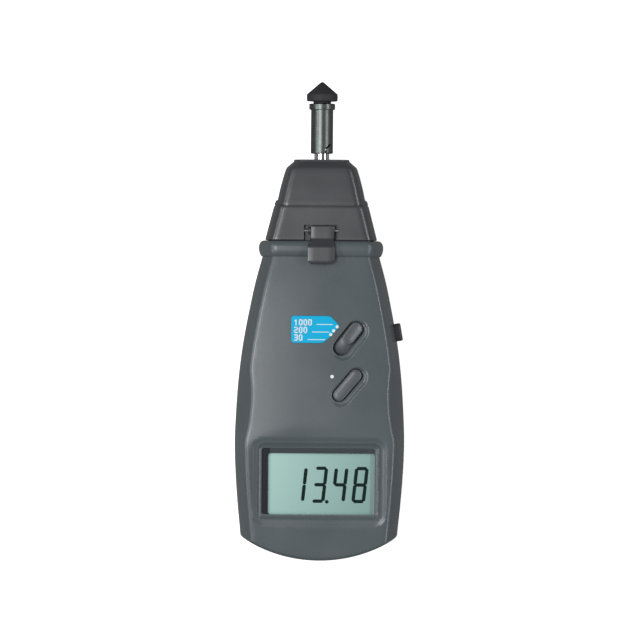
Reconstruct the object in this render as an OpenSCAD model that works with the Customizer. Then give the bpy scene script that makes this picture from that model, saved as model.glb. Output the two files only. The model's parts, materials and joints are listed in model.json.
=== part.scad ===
// Hand-held tachometer lying on its back, tip towards +Y, face up, in millimetres.
// Places along the object are measured from the bottom edge of the case, and set_down centres them.

/* [Case] */
// Length of the case, from its bottom edge to the collar
case_len = 136.3; // [134:0.1:142]
// Greatest width of the case
case_w = 76.2; // [75:0.1:84]
// Greatest depth of the case
case_depth = 38; // [37.5:0.1:42]
// Height of the parting line above the back
split_z = 18; // [17.8:0.1:18.6]
// Wall of the two shells
wall = 2.2; // [1.8:0.1:2.4]
// Radius of the curved bottom edge, seen from the front
end_arc_r = 63.4; // [60:0.1:80]
// Rounding of the bottom edge
end_round = 1.6; // [1:0.1:2]
// How far the edge of the face lies inside the outline
face_inset = 5; // [4:0.1:5.6]
// Rounding of the edge of the face
face_round = 1.8; // [1.2:0.1:2.2]
// Radius of the face's crown, across
crown_r = 450; // [350:10:900]
// Rounding of the back's long edges
back_round = 5; // [3.5:0.1:5.5]
// How far the back lifts at the nose
nose_lift = 5.4; // [4.5:0.1:6]
// Length of the finger scallops
scallop_len = 33.2; // [28:0.1:36]
// Depth of the finger scallops
scallop_depth = 1.8; // [1:0.1:2]
// Place of the middle of the finger scallops
scallop_y = 74.3; // [72:0.1:76]

/* [Collar and nose] */
// Length of the round collar
collar_len = 7; // [6:0.1:8]
// How far the collar stands out
collar_h = 2; // [1.5:0.1:2.2]
// Width of the nose that the head slides over
nose_w = 42; // [40:0.1:43]
// Depth of the nose
nose_d = 20; // [19:0.1:20.5]
// Length of the nose
nose_len = 8; // [7:0.1:8.4]

/* [Display] */
// Place of the top of the display facet
facet_top = 60.8; // [59:0.1:63]
// Tilt of the display facet
facet_tilt = 8; // [6:0.5:9]
// Width of the window opening
window_w = 48.6; // [46:0.1:49]
// Height of the window opening
window_h = 29.4; // [28:0.1:30]
// Distance of the window's middle below the top of the facet
window_drop = 25.9; // [25:0.1:26.5]
// Width of the recess around the window
bezel_w = 59; // [58:0.1:60.4]
// Height of the recess around the window
bezel_h = 38.4; // [37.6:0.1:39]
// Depth of each of the two steps of the recess
bezel_step = 0.5; // [0.3:0.05:0.6]
// Thickness of the clear window
window_t = 1; // [0.8:0.1:1.1]
// Thickness of the display glass
lcd_t = 2.8; // [2.2:0.1:3]
// Height of the figures
digit_h = 16; // [14:0.1:17]
// Distance from figure to figure
digit_pitch = 9; // [8.4:0.1:9.4]
// Width of a figure
digit_w = 6; // [5.5:0.1:6.6]
// Width of a figure's strokes
stroke_w = 1.25; // [1:0.05:1.5]

/* [Controls] */
// Distance of the mode slot's middle from the centre line
slot_x = 12.6; // [11:0.1:13.4]
// Place of the mode slot's middle
slot_y = 99.8; // [98.5:0.1:101]
// Turn of the mode slot from straight across
slot_turn = 52; // [46:1:58]
// Radius of the mode slot's ends
slot_r = 3.8; // [3.4:0.1:4]
// Distance between the centres of the mode slot's ends
slot_pitch = 10.1; // [9.6:0.1:10.6]
// Length of the mode knob
knob_len = 11; // [10:0.1:11.2]
// Width of the mode knob
knob_w = 5.6; // [5:0.1:6.2]
// Distance of the memory button's middle from the centre line
memory_x = 12.3; // [11:0.1:13]
// Place of the memory button's middle
memory_y = 78.9; // [78:0.1:79.6]
// Turn of the memory button from straight across
memory_turn = 50; // [46:1:54]
// Radius of the ends of the memory button's hole
memory_r = 3.3; // [3:0.1:3.6]
// Distance between the centres of the hole's ends
memory_pitch = 11.4; // [10.6:0.1:12]
// Gap round the memory button
memory_gap = 0.6; // [0.5:0.05:0.9]
// Travel of the two push buttons
press = 0.8; // [0.5:0.05:0.9]
// Place of the measure button's middle
measure_y = 102.3; // [101:0.1:103.5]
// Length of the measure button
measure_len = 7.8; // [7:0.1:9]
// Height of the measure button
measure_h = 9; // [8:0.1:9.6]
// How far the measure button stands out of the side
measure_out = 2.7; // [2:0.1:3.2]
// Width of the mode label
label_w = 21.7; // [20:0.1:22.4]
// Height of the mode label
label_h = 12.1; // [11:0.1:13]

/* [Power] */
// Diameter of a battery cell
cell_d = 14.3; // [14:0.1:14.4]
// Length of a battery cell
cell_len = 50.3; // [49.5:0.1:50.5]
// Length of a battery spring
spring_len = 4.6; // [4:0.1:5]
// Wire of a battery spring
spring_wire = 0.6; // [0.5:0.05:0.7]
// Length of the battery door
door_len = 76; // [75.5:0.1:77]
// Width of the battery door outside
door_w = 57.6; // [57:0.1:58]
// Thickness of the battery door
door_t = 2; // [1.7:0.1:2]

/* [Boards] */
// Thickness of the circuit boards
board_t = 1.6; // [1.2:0.1:1.7]
// Height of the main board above the back
board_z = 21; // [20.7:0.1:21.4]
// Diameter of the case screws
screw_d = 3; // [2.6:0.1:3.2]

/* [Contact head] */
// Width of the head at the collar
head_w = 50.4; // [50:0.1:52]
// Depth of the head at the collar
head_d = 28.4; // [28:0.1:29]
// Length of the head's lower part
base_len = 15.5; // [15.2:0.1:17]
// Length of the groove between the head's two parts
neck_len = 0.9; // [0.6:0.1:1.2]
// Length of the head's upper part
cap_len = 19.9; // [19.4:0.1:21]
// Width of the upper part at its lower end
cap_w = 40.4; // [40:0.1:41]
// Wall of the head
head_wall = 2; // [1.7:0.1:2.1]
// Width of the notch for a latch
notch_w = 15.4; // [15:0.1:16]
// Width of a latch
latch_w = 12; // [11.4:0.1:12.4]
// Length of a latch's tab below the head
tab_len = 10.6; // [9.6:0.1:11.2]
// Diameter of the latch pins
pin_d = 1.5; // [1.2:0.1:1.6]

/* [Rotor and tip] */
// Diameter of the shaft outside the head
shaft_d = 6.75; // [6.2:0.05:7]
// Diameter of the shaft in its bearings
journal_d = 5; // [4.6:0.1:5.2]
// Outside diameter of the bearings
bearing_d = 11; // [10.6:0.1:11.4]
// Width of the bearings
bearing_w = 5; // [4.6:0.1:5]
// Length of shaft that shows above the head
shaft_show = 2.7; // [2:0.1:4]
// Diameter of the tip's sleeve
sleeve_d = 10; // [9.6:0.1:10.6]
// Length of the sleeve, flange included
sleeve_len = 22.5; // [20:0.1:26]
// Diameter of the sleeve's flange
flange_d = 11.7; // [11:0.1:12.6]
// Length of the sleeve's flange
flange_len = 2.7; // [2:0.1:3.4]
// Diameter of the rubber neck
neck_d = 8; // [7.2:0.1:9]
// Diameter of the rubber cone
cone_d = 13.9; // [12:0.1:15]
// Length of the rubber rim
cone_rim = 3.2; // [2.4:0.1:4]
// Length of the rubber point
cone_len = 5.6; // [5:0.1:7]

/* [Hidden] */

$fn = 48;
hull_sides = 32;
// Overrun of every cut
over = 1;
// Clearance of pieces that are set in the housing
set_gap = 0.1;
// Clearance of pieces that move
move_gap = 0.4;
// Clearance of a pin or shaft in its bore, on the radius
run_gap = 0.05;
// Clearance of pieces pressed together
fit = 0.01;

grey = [0.345, 0.37, 0.385];
head_grey = [0.33, 0.33, 0.35];
black = [0.1, 0.1, 0.11];
steel = [0.75, 0.77, 0.78];
board_green = [0.1, 0.35, 0.2];

collar_draw = 0.9 * collar_h;
nose_y = case_len + collar_len;
nose_end = nose_y + nose_len;
nose_draft = 0.8;
head_gap = 0.4;
neck_inset = 0.9;
head_y = nose_y + head_gap;
cap_y = head_y + base_len;
cap_body_y = cap_y + neck_len;
head_end = cap_body_y + cap_len;
sleeve_y = head_end + shaft_show;
cone_y = sleeve_y + sleeve_len;
cone_neck = 1;
overall_len = cone_y + cone_neck + cone_rim + cone_len;

// Outline of the case: shares of its length and of its greatest half width
side_shares = [[0, 0.906], [0.0755, 0.924], [0.176, 0.958], [0.282, 0.987], [0.387, 1], [0.492, 0.987],
    [0.598, 0.961], [0.704, 0.916], [0.809, 0.85], [0.914, 0.772], [1, 0.69]];
// Crown of the face along the case: shares of its length and of its depth
crown_shares = [[0, 0.96], [0.24, 0.989], [0.445, 1], [0.65, 0.989], [0.8, 0.965], [0.91, 0.932], [1, 0.89]];
// Share of the case's length over which the back stays flat
flat_share = 0.82;
// Rows of the shells, as shares of the case's length
row_shares = [0, 0.002, 0.006, 0.012, 0.04, 0.08, 0.13, 0.18, 0.24, 0.3, 0.35, 0.385, 0.4, 0.415, 0.43,
    0.445, 0.47, 0.52, 0.58, 0.64, 0.7, 0.76, 0.82, 0.87, 0.91, 0.95, 0.98, 1];
// Share of the case's length over which the rows lose the bend of the bottom edge
bend_share = 0.18;

function rise(tab, i) = (tab[i + 1][1] - tab[i][1]) / (tab[i + 1][0] - tab[i][0]);
function lean_at(tab, i) = i == 0 ? rise(tab, 0) : i == len(tab) - 1 ? rise(tab, i - 1)
    : (rise(tab, i - 1) + rise(tab, i)) / 2;
function piece_at(tab, v, i = 0) = i >= len(tab) - 2 || v < tab[i + 1][0] ? i : piece_at(tab, v, i + 1);
// Smooth value of a table of places and values, by cubic pieces between its rows
function smooth_at(tab, v) =
    let (i = piece_at(tab, v), h = tab[i + 1][0] - tab[i][0], t = (v - tab[i][0]) / h,
         m = lean_at(tab, i) * h, n = lean_at(tab, i + 1) * h)
    (2 * t ^ 3 - 3 * t ^ 2 + 1) * tab[i][1] + (t ^ 3 - 2 * t ^ 2 + t) * m
    + (3 * t ^ 2 - 2 * t ^ 3) * tab[i + 1][1] + (t ^ 3 - t ^ 2) * n;

function half_w(y) = case_w / 2 * smooth_at(side_shares, y / case_len);
function crown_z(y) = case_depth * smooth_at(crown_shares, y / case_len);
function face_z(x, y) = crown_z(y) - x ^ 2 / (2 * crown_r);
facet_z = crown_z(facet_top);
function plane_z(y) = facet_z + (y - facet_top) * tan(facet_tilt);
function back_z(y) =
    let (t = max(0, (y / case_len - flat_share) / (1 - flat_share))) nose_lift * t * t * (3 - 2 * t);
function arc_y(x) = end_arc_r - sqrt(end_arc_r ^ 2 - x ^ 2);
function bend(v) = max(0, 1 - v / (bend_share * case_len));
// Inset of the rounded bottom edge at a distance from it
function end_inset(v) = v >= end_round ? 0 : end_round - sqrt(end_round ^ 2 - (end_round - v) ^ 2);
head_axis = (crown_z(case_len) + back_z(case_len)) / 2;
corner_w = case_w / 2 * side_shares[0][1];

// A row is its place, half width, height of the face, height of the back, inset of the face's edge,
// rounding there, rounding of the back's edge, and how far the display facet sinks
function body_row(share, in) =
    let (v = share * case_len, y = in + v * (1 - in / case_len), e = end_inset(v))
    [y, half_w(v + bend(v) * arc_y(corner_w)) - e - in, crown_z(v) - e - in, back_z(v) + e + in,
     face_inset + (in > 0 && abs(y - scallop_y) < 0.7 * scallop_len ? scallop_depth : 0),
     in > 0 ? face_round / 2 : face_round, back_round, e + in];
function collar_row(turn, in) =
    let (t = (1 - cos(turn)) / 2, g = in > 0 ? -in : collar_h * sin(turn), drop = collar_draw * t)
    [case_len + t * (collar_len - in), half_w(case_len) - drop + g, crown_z(case_len) - drop + g,
     back_z(case_len) + drop - g, face_inset, face_round, back_round, 0];
function nose_row(y, in) =
    let (d = nose_draft * (y - nose_y + in) / nose_len)
    [y, nose_w / 2 - in - d, head_axis + nose_d / 2 - in - d, head_axis - nose_d / 2 + in + d,
     face_inset / 2, face_round, 1.2 * back_round, 0];
function shell_rows(in) = concat([for (s = row_shares) body_row(s, in)],
    [for (turn = [30:30:180]) collar_row(turn, in)],
    [nose_row(nose_y - in, in), nose_row(nose_end - in, in)]);

face_steps = 5;
corner_steps = 3;
side_steps = 3;
half_steps = face_steps + corner_steps + side_steps;

// Point of a front row: over the face, round its edge, and down the side to the parting line
function front_point(r, k) =
    let (face = r[1] - r[4] - r[5], top = min(r[2] - face ^ 2 / (2 * crown_r), plane_z(r[0]) - r[7]),
         turn = min(k - face_steps, corner_steps) * 90 / (corner_steps + 1),
         edge = [face + r[5] * sin(turn), -r[5] * (1 - cos(turn))],
         t = max(0, k - face_steps - corner_steps) / side_steps,
         x = k <= face_steps ? face * k / face_steps : edge[0] + (r[1] - edge[0]) * sin(90 * t),
         y = r[0] + bend(r[0]) * arc_y(x),
         flat = min(r[2] - min(x, face) ^ 2 / (2 * crown_r), plane_z(y) - r[7]))
    [x, y, k <= face_steps ? flat : (flat + edge[1]) * (1 - t) + split_z * t];
// Draft of the back shell's sides
side_draft = 0.6;
// Point of a back row: over the back, round its edge, and up the side to the parting line
function back_point(r, k) =
    let (flat = r[1] - r[6] - side_draft, turn = min(k - face_steps, corner_steps) * 90 / corner_steps,
         t = max(0, k - face_steps - corner_steps) / side_steps,
         x = k <= face_steps ? flat * k / face_steps : flat + r[6] * sin(turn) + side_draft * t,
         z = k <= face_steps ? r[3] : r[3] + r[6] * (1 - cos(turn)))
    [x, r[0] + bend(r[0]) * arc_y(x), z * (1 - t) + split_z * t];
function mirror_x(p) = [-p[0], p[1], p[2]];
function line_points(r, front) =
    let (half = [for (k = [0:half_steps]) front ? front_point(r, k) : back_point(r, k)])
    concat([for (k = [half_steps:-1:1]) mirror_x(half[k])], half);
function to_split(line) = [for (p = line) [p[0], p[1], split_z]];
function sheet_rows(front, in) =
    let (rows = [for (r = shell_rows(in)) line_points(r, front)])
    concat([to_split(rows[0])], rows, [to_split(rows[len(rows) - 1])]);
function flat_list(rows) = [for (r = rows) for (p = r) p];
function distinct(f) = f[0] != f[1] && f[1] != f[2] && f[2] != f[0];
function halves(q) = [[q[0], q[1], q[2]], [q[0], q[2], q[3]]];

// Closed shell between an outer and an inner grid of points, whose end rows meet the parting line
module thick_sheet(outer, inner, front) {
    rows = len(outer);
    cols = len(outer[0]);
    function row_of(r, c) = c > 0 && c < cols - 1 ? r : r == 0 ? 1 : r == rows - 1 ? rows - 2 : r;
    function out_id(r, c) = row_of(r, c) * cols + c;
    function in_id(r, c) = rows * cols + out_id(r, c);
    quads = concat(
        [for (r = [0:rows - 2]) for (c = [0:cols - 2])
            [out_id(r, c), out_id(r + 1, c), out_id(r + 1, c + 1), out_id(r, c + 1)]],
        [for (r = [0:rows - 2]) for (c = [0:cols - 2])
            [in_id(r, c), in_id(r, c + 1), in_id(r + 1, c + 1), in_id(r + 1, c)]],
        [for (c = [0:cols - 2]) [out_id(0, c), out_id(0, c + 1), in_id(0, c + 1), in_id(0, c)]],
        [for (c = [0:cols - 2])
            [out_id(rows - 1, c + 1), out_id(rows - 1, c), in_id(rows - 1, c), in_id(rows - 1, c + 1)]],
        [for (r = [0:rows - 2]) [out_id(r + 1, 0), out_id(r, 0), in_id(r, 0), in_id(r + 1, 0)]],
        [for (r = [0:rows - 2])
            [out_id(r, cols - 1), out_id(r + 1, cols - 1), in_id(r + 1, cols - 1), in_id(r, cols - 1)]]);
    faces = [for (q = quads) for (f = halves(q)) if (distinct(f)) front ? f : [f[2], f[1], f[0]]];
    polyhedron(concat(flat_list(outer), flat_list(inner)), faces);
}

module shell(front) {
    thick_sheet(sheet_rows(front, 0), sheet_rows(front, wall), front);
}

module set_down() {
    translate([0, -overall_len / 2, 0]) children();
}

module on_facet() {
    translate([0, facet_top, facet_z]) rotate([facet_tilt, 0, 0]) translate([0, -window_drop, 0]) children();
}

module block(size, middle) {
    translate(middle) cube(size, center = true);
}

module round_plate(w, h, r, t) {
    linear_extrude(t) {
        square([w - 2 * r, h], center = true);
        square([w, h - 2 * r], center = true);
        for (x = [-1, 1]) for (y = [-1, 1]) translate([x * (w / 2 - r), y * (h / 2 - r)]) circle(r);
    }
}

// Flat bar with round ends along its own X, of a given end radius and distance between end centres
module pill(r, pitch, t) {
    linear_extrude(t) {
        square([pitch, 2 * r], center = true);
        for (x = [-1, 1]) translate([x * pitch / 2, 0]) circle(r);
    }
}

module along_y(y0, y1, r1, r2 = -1, x = 0, z = 0) {
    translate([x, y0, z]) rotate([-90, 0, 0]) cylinder(h = y1 - y0, r1 = r1, r2 = r2 < 0 ? r1 : r2);
}

// Coil of wire along +Z, one closed tube swept on a helix
module coil(r, wire, turns, length) {
    per_turn = 12;
    sides = 6;
    rings = turns * per_turn + 1;
    climb = length - wire;
    points = [for (i = [0:rings - 1]) let (a = 360 * i / per_turn, z = wire / 2 + climb * i / (rings - 1))
        for (k = [0:sides - 1]) let (b = 360 * k / sides, q = r + wire / 2 * cos(b))
            [q * cos(a), q * sin(a), z + wire / 2 * sin(b)]];
    side_faces = [for (i = [0:rings - 2]) for (k = [0:sides - 1]) let (n = (k + 1) % sides)
        for (f = halves([i * sides + k, (i + 1) * sides + k, (i + 1) * sides + n, i * sides + n])) f];
    ends = [[for (k = [0:sides - 1]) k], [for (k = [sides - 1:-1:0]) (rings - 1) * sides + k]];
    polyhedron(points, concat(side_faces, ends));
}

bezel_r = 4.5;
bezel_rise = 0.2;
// Second step of the recess: its margins round the window, rounding and place
step_margin_w = 6.4;
step_margin_h = 4.8;
step_r = 2.4;
step_rise = 0.5;
window_r = 1.4;
window_top = wall;
lcd_top = window_top + window_t + 3 * set_gap;
lcd_margin = 5;
lcd_w = window_w + lcd_margin;
lcd_h = window_h + lcd_margin;
lcd_rim = 1.6;
sheet_r = 0.5;
frame_w = lcd_w + 2 * lcd_rim;
frame_h = lcd_h + 2 * lcd_rim;
strip_w = 2.2;
strip_h = 2.7;
reflector_t = 0.6;
display_board_top = lcd_top + lcd_t + strip_h;
display_board_w = frame_w - 6 * set_gap;
board_margin = 4.4;
post_r = 1.8;
post_inset = 2.6;
pilot_r = 0.9;
display_board_h = frame_h + board_margin;

// Places of the two screws that hold the display board, past the frame's upper edge
module at_board_screws(z) {
    for (x = [-1, 1]) on_facet()
        translate([x * (display_board_w / 2 - post_inset), (frame_h + board_margin) / 2, z]) children();
}

cell_gap = 0.35;
cell_z = door_t + 2 * set_gap + move_gap + cell_d / 2;
contact_t = 0.4;
bay_y = 14.6;
nub_len = 1;
bay_len = cell_len + spring_len + 2 * contact_t + 4 * set_gap;
bay_end = bay_y + bay_len;

knob_travel = slot_pitch + 2 * slot_r - knob_len - 2 * move_gap;
flange_t = 0.8;
dish = 1.1;
dish_depth = 0.7;

module at_slot(z) {
    translate([slot_x, slot_y, z]) rotate([0, 0, slot_turn]) children();
}

module at_memory(z) {
    translate([memory_x, memory_y, z]) rotate([0, 0, memory_turn]) children();
}

// Shallow bevel round a slot, sunk from the face
module bevel_cut(r, pitch) {
    hull() for (x = [-1, 1]) translate([x * pitch / 2, 0, -dish_depth])
        cylinder(h = dish_depth + over, r1 = r, r2 = r + dish * (dish_depth + over) / dish_depth,
            $fn = hull_sides);
}

side_turn = atan((half_w(measure_y + measure_len / 2) - half_w(measure_y - measure_len / 2)) / measure_len);
measure_z = split_z + set_gap + measure_h / 2;
measure_x = half_w(measure_y);

// Frame of the measure button: its own X points out of the side
module at_measure() {
    translate([measure_x, measure_y, measure_z]) rotate([0, 0, -side_turn]) children();
}

boss_wall = 1.5;
boss_r = screw_d / 2 + boss_wall;
// Screws: shares of the case's width, and distances from the battery bay and from the collar
low_screw_share = 0.355;
high_screw_share = 0.2;
low_screw_rise = 11.35;
high_screw_drop = 10.2;
function screw_spots() = [for (x = [-1, 1]) each [
    [x * low_screw_share * case_w, bay_end + low_screw_rise],
    [x * high_screw_share * case_w, case_len - high_screw_drop]]];
screw_head_r = 0.93 * screw_d;
screw_head_h = 1.9;
screw_len = 14;
screw_seat = 4.6;
screw_end_gap = 2;
head_rim = 1.3;

label_y = 103.75;
label_x = -2.2;
label_t = 0.35;
label_r = 1.4;
label_nib = 4.3;
label_turn = 2.5;

// Outline with two round corners on the left and a blunt arrow on the right
module label_plate(grow, t) {
    w = label_w / 2 + grow;
    h = label_h / 2 + grow;
    r = label_r;
    linear_extrude(t) polygon(concat(
        [for (a = [0:30:90]) [r - w - r * sin(a), h - r + r * cos(a)]],
        [for (a = [90:30:180]) [r - w - r * sin(a), r - h + r * cos(a)]],
        [[w - 1.75 * label_nib, -h], [w - label_nib, 0.62 * label_nib - h], [w, label_nib / 2.6],
         [w - label_nib, h]]));
}

module at_label() {
    translate([label_x, label_y, crown_z(label_y) - label_t]) rotate([-label_turn, 0, 0]) children();
}

// Cutter that dishes one side: a cylinder that leans out with the wall
module scallop_cut() {
    r = scallop_len ^ 2 / (8 * scallop_depth);
    edge = half_w(scallop_y) - face_inset;
    lean = atan((face_inset + scallop_depth) / (case_depth - split_z));
    translate([edge - scallop_depth, scallop_y, crown_z(scallop_y)]) rotate([0, -lean, 0])
        translate([r, 0, -case_depth + split_z]) cylinder(h = case_depth, r = r, $fn = 96);
}

module front_case() {
    color(grey) set_down() difference() {
        union() {
            shell(true);
            for (p = screw_spots()) translate([p[0], p[1], split_z])
                cylinder(h = crown_z(p[1]) - split_z - 0.6 * wall, r = boss_r);
            at_board_screws(-display_board_top) cylinder(h = display_board_top - 0.6 * wall, r = post_r);
        }
        for (p = screw_spots()) translate([p[0], p[1], split_z - over])
            cylinder(h = screw_len, r = screw_d / 2 + run_gap);
        on_facet() translate([0, bezel_rise, -bezel_step]) round_plate(bezel_w, bezel_h, bezel_r, face_inset);
        on_facet() translate([0, step_rise, -2 * bezel_step])
            round_plate(window_w + step_margin_w, window_h + step_margin_h, step_r, face_inset);
        on_facet() translate([0, 0, -2 * wall]) round_plate(window_w, window_h, window_r, 4 * wall);
        at_slot(split_z + wall) pill(slot_r, slot_pitch, case_depth);
        at_slot(face_z(slot_x, slot_y)) bevel_cut(slot_r, slot_pitch);
        at_memory(split_z + wall) pill(memory_r, memory_pitch, case_depth);
        at_memory(face_z(memory_x, memory_y)) bevel_cut(memory_r, memory_pitch);
        at_measure() block([4 * face_inset, measure_len + 2 * move_gap, measure_h + 2 * move_gap], [0, 0, 0]);
        at_label() label_plate(set_gap, over);
        for (side = [0, 1]) mirror([side, 0, 0]) scallop_cut();
        translate([0, nose_end, head_axis]) rotate([90, 0, 0]) optic_opening();
        at_board_screws(-display_board_top - over) cylinder(h = display_board_top - wall, r = pilot_r);
    }
}

optic_w = 28;
optic_h = 9;
module optic_opening() {
    translate([0, 0, -over]) pill(optic_h / 2, optic_w - optic_h, wall + 2 * over);
}

bay_w = 4 * cell_d + 5 * cell_gap;
bay_wall = 2.5;
rib_t = 1.4;
roof_z = cell_z + cell_d / 2 + cell_gap;
function cell_x(i) = (i - 1.5) * (cell_d + cell_gap);

door_z = 0.2;
door_flare = 1.6;
module door_section(grow, low, high) {
    polygon([[-door_w / 2 - grow, low], [door_w / 2 + grow, low],
        [door_w / 2 + door_flare + grow, high], [-door_w / 2 - door_flare - grow, high]]);
}

module rear_case() {
    color(grey) set_down() difference() {
        union() {
            shell(false);
            for (p = screw_spots()) translate([p[0], p[1], back_z(p[1]) + 0.4 * wall])
                cylinder(h = split_z - back_z(p[1]) - 0.4 * wall, r = screw_head_r + head_rim);
            for (y = [bay_y - rib_t, bay_end]) block([bay_w + 2 * bay_wall, rib_t, roof_z - wall],
                [0, y + rib_t / 2, (roof_z + wall) / 2]);
            block([bay_w + 2 * bay_wall, bay_len + 2 * rib_t, rib_t / 2],
                [0, bay_y + bay_len / 2, roof_z + rib_t / 4]);
        }
        for (p = screw_spots()) translate([p[0], p[1], -over]) {
            cylinder(h = split_z + 2 * over, r = screw_d / 2 + 2 * set_gap);
            cylinder(h = screw_seat + back_z(p[1]) + over, r = screw_head_r + 2 * set_gap);
        }
        translate([0, door_len + move_gap, 0]) rotate([90, 0, 0])
            linear_extrude(door_len + 2 * over) door_section(move_gap, -over, wall + 3 * set_gap);
        translate([0, nose_end, head_axis]) rotate([90, 0, 0]) optic_opening();
    }
}

module battery_door() {
    ridges = 7;
    ridge_pitch = 2.4;
    groove_w = 1.2;
    groove_depth = 0.5;
    color(grey) set_down() difference() {
        intersection() {
            translate([0, door_len, 0]) rotate([90, 0, 0])
                linear_extrude(door_len) door_section(0, door_z, door_z + door_t);
            translate([0, end_arc_r, 0])
                cylinder(h = door_t + over, r = end_arc_r - 0.3 * end_round, $fn = 120);
        }
        for (i = [0:ridges - 1]) block([0.4 * door_w, groove_w, 2 * groove_depth],
            [0, door_len / 8 + ridge_pitch * i, door_z]);
    }
}

module display_window() {
    color([0.85, 0.9, 0.9, 0.3]) set_down() on_facet()
        translate([0, 0, -window_top - window_t - set_gap]) round_plate(lcd_w, lcd_h, 2 * sheet_r, window_t);
}

module lcd_frame() {
    depth = display_board_top - window_top - window_t - 4 * set_gap;
    low = -display_board_top + set_gap;
    room = 4 * set_gap;
    color([0.15, 0.15, 0.16]) set_down() on_facet() difference() {
        translate([0, 0, low]) round_plate(frame_w, frame_h, 2 * sheet_r, depth);
        translate([0, 0, low - over]) round_plate(lcd_w + room, lcd_h + room, sheet_r, depth + 2 * over);
    }
}

module lcd_glass() {
    color([0.62, 0.76, 0.7]) set_down() on_facet()
        translate([0, 0, -lcd_top - lcd_t]) round_plate(lcd_w, lcd_h, sheet_r, lcd_t);
}

slant = tan(6);
digit_rise = 5.5;
digit_low = digit_rise - window_h / 2;
digit_margin = 3.35;
point_r = 0.8;
// One slanted stroke through a list of points, as a filled outline
module stroke(points) {
    polygon([for (p = points) [p[0] + p[1] * slant, p[1]]]);
}

// Seven-segment figure: on holds one flag each for the top, two upper, middle, two lower and bottom strokes
module figure(on) {
    w = digit_w;
    h = digit_h;
    s = stroke_w;
    c = 0.12 * s;
    if (on[0]) stroke([[c, h], [w - c, h], [w - s - c, h - s], [s + c, h - s]]);
    if (on[1]) stroke([[0, h - c], [s, h - s - c], [s, h / 2 + s / 2 + c], [0, h / 2 + c]]);
    if (on[2]) stroke([[w, h - c], [w, h / 2 + c], [w - s, h / 2 + s / 2 + c], [w - s, h - s - c]]);
    if (on[3]) stroke([[s / 2 + c, h / 2], [s + c, h / 2 + s / 2], [w - s - c, h / 2 + s / 2],
        [w - s / 2 - c, h / 2], [w - s - c, h / 2 - s / 2], [s + c, h / 2 - s / 2]]);
    if (on[4]) stroke([[0, c], [0, h / 2 - c], [s, h / 2 - s / 2 - c], [s, s + c]]);
    if (on[5]) stroke([[w, c], [w - s, s + c], [w - s, h / 2 - s / 2 - c], [w, h / 2 - c]]);
    if (on[6]) stroke([[c, 0], [s + c, s], [w - s - c, s], [w - c, 0]]);
}

figure_one = [0, 0, 1, 0, 0, 1, 0];
figure_three = [1, 0, 1, 1, 0, 1, 1];
figure_four = [0, 1, 1, 1, 0, 1, 0];
figure_eight = [1, 1, 1, 1, 1, 1, 1];
module lcd_digits() {
    figures = [figure_one, figure_three, figure_four, figure_eight];
    first_x = window_w / 2 - digit_margin - digit_w - 3 * digit_pitch;
    color([0.12, 0.18, 0.17]) set_down() on_facet() translate([0, digit_low, -lcd_top])
        linear_extrude(set_gap) {
            for (i = [0:3]) translate([first_x + i * digit_pitch, 0]) figure(figures[i]);
            translate([first_x + digit_pitch + digit_w + point_r / 2, point_r]) circle(point_r);
        }
}

module lcd_reflector() {
    color([0.85, 0.85, 0.8]) set_down() on_facet()
        translate([0, 0, -lcd_top - lcd_t - reflector_t])
            round_plate(lcd_w - strip_w, lcd_h - 2.5 * strip_w, sheet_r, reflector_t);
}

module zebra_strips() {
    rest = display_board_top - lcd_top - lcd_t;
    color([0.3, 0.3, 0.32]) set_down() on_facet() for (side = [-1, 1])
        block([window_w, strip_w, rest], [0, side * (lcd_h - strip_w) / 2, -lcd_top - lcd_t - rest / 2]);
}

module display_board() {
    color(board_green) set_down() difference() {
        on_facet() translate([0, board_margin / 2, -display_board_top - board_t])
            round_plate(display_board_w, display_board_h, 2 * sheet_r, board_t);
        at_board_screws(-display_board_top - board_t - over)
            cylinder(h = board_t + 2 * over, r = pilot_r + 3 * set_gap);
    }
}

module board_screws() {
    head_h = 1.2;
    head_r = 2;
    length = 5;
    color(steel) set_down() at_board_screws(-display_board_top - board_t) {
        translate([0, 0, -head_h]) cylinder(h = head_h, r = head_r);
        cylinder(h = length, r = pilot_r - run_gap);
    }
}

module controller_chip() {
    leads = 16;
    chip_w = 12;
    chip_h = 1.5;
    lead_w = 0.3;
    lead_span = 14;
    lead_pitch = 0.65;
    color(black) set_down() on_facet() translate([0, -strip_w, -display_board_top - board_t - chip_h]) {
        round_plate(chip_w, chip_w, lead_w, chip_h);
        for (turn = [0, 90]) rotate([0, 0, turn]) for (i = [0:leads - 1])
            block([lead_w, lead_span, lead_w], [(i - (leads - 1) / 2) * lead_pitch, 0, chip_h - lead_w / 2]);
    }
}

block_gap = 1.3;
block_end = nose_end - wall - block_gap;
block_len = 14;
laser_x = -8;
laser_r = 3.1;
laser_tail = 2;
lens_x = 6;
lens_r = 4.6;
lens_seat = 4;
diode_r = 2.5;
diode_tail = 1;
lead_len = 2;
lead_t = 0.5;
lead_x = 1.27;

board_low = 53;
board_high = block_end - block_len - diode_tail - lead_len - 2 * move_gap;
module board_outline() {
    low = 0.345 * case_w;
    high = 0.25 * case_w;
    polygon([[-low, board_low], [low, board_low], [low, 0.62 * board_high], [high, board_high],
        [-high, board_high], [-low, 0.62 * board_high]]);
}

module main_board() {
    color(board_green) set_down() difference() {
        translate([0, 0, board_z]) linear_extrude(board_t) board_outline();
        for (p = screw_spots()) translate([p[0], p[1], board_z - over])
            cylinder(h = board_t + 2 * over, r = boss_r + 2 * set_gap);
        at_measure() block([2 * tact_h, tact_w + 2 * set_gap, case_depth], [tact_x - set_gap + tact_h, 0, 0]);
    }
}

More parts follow.
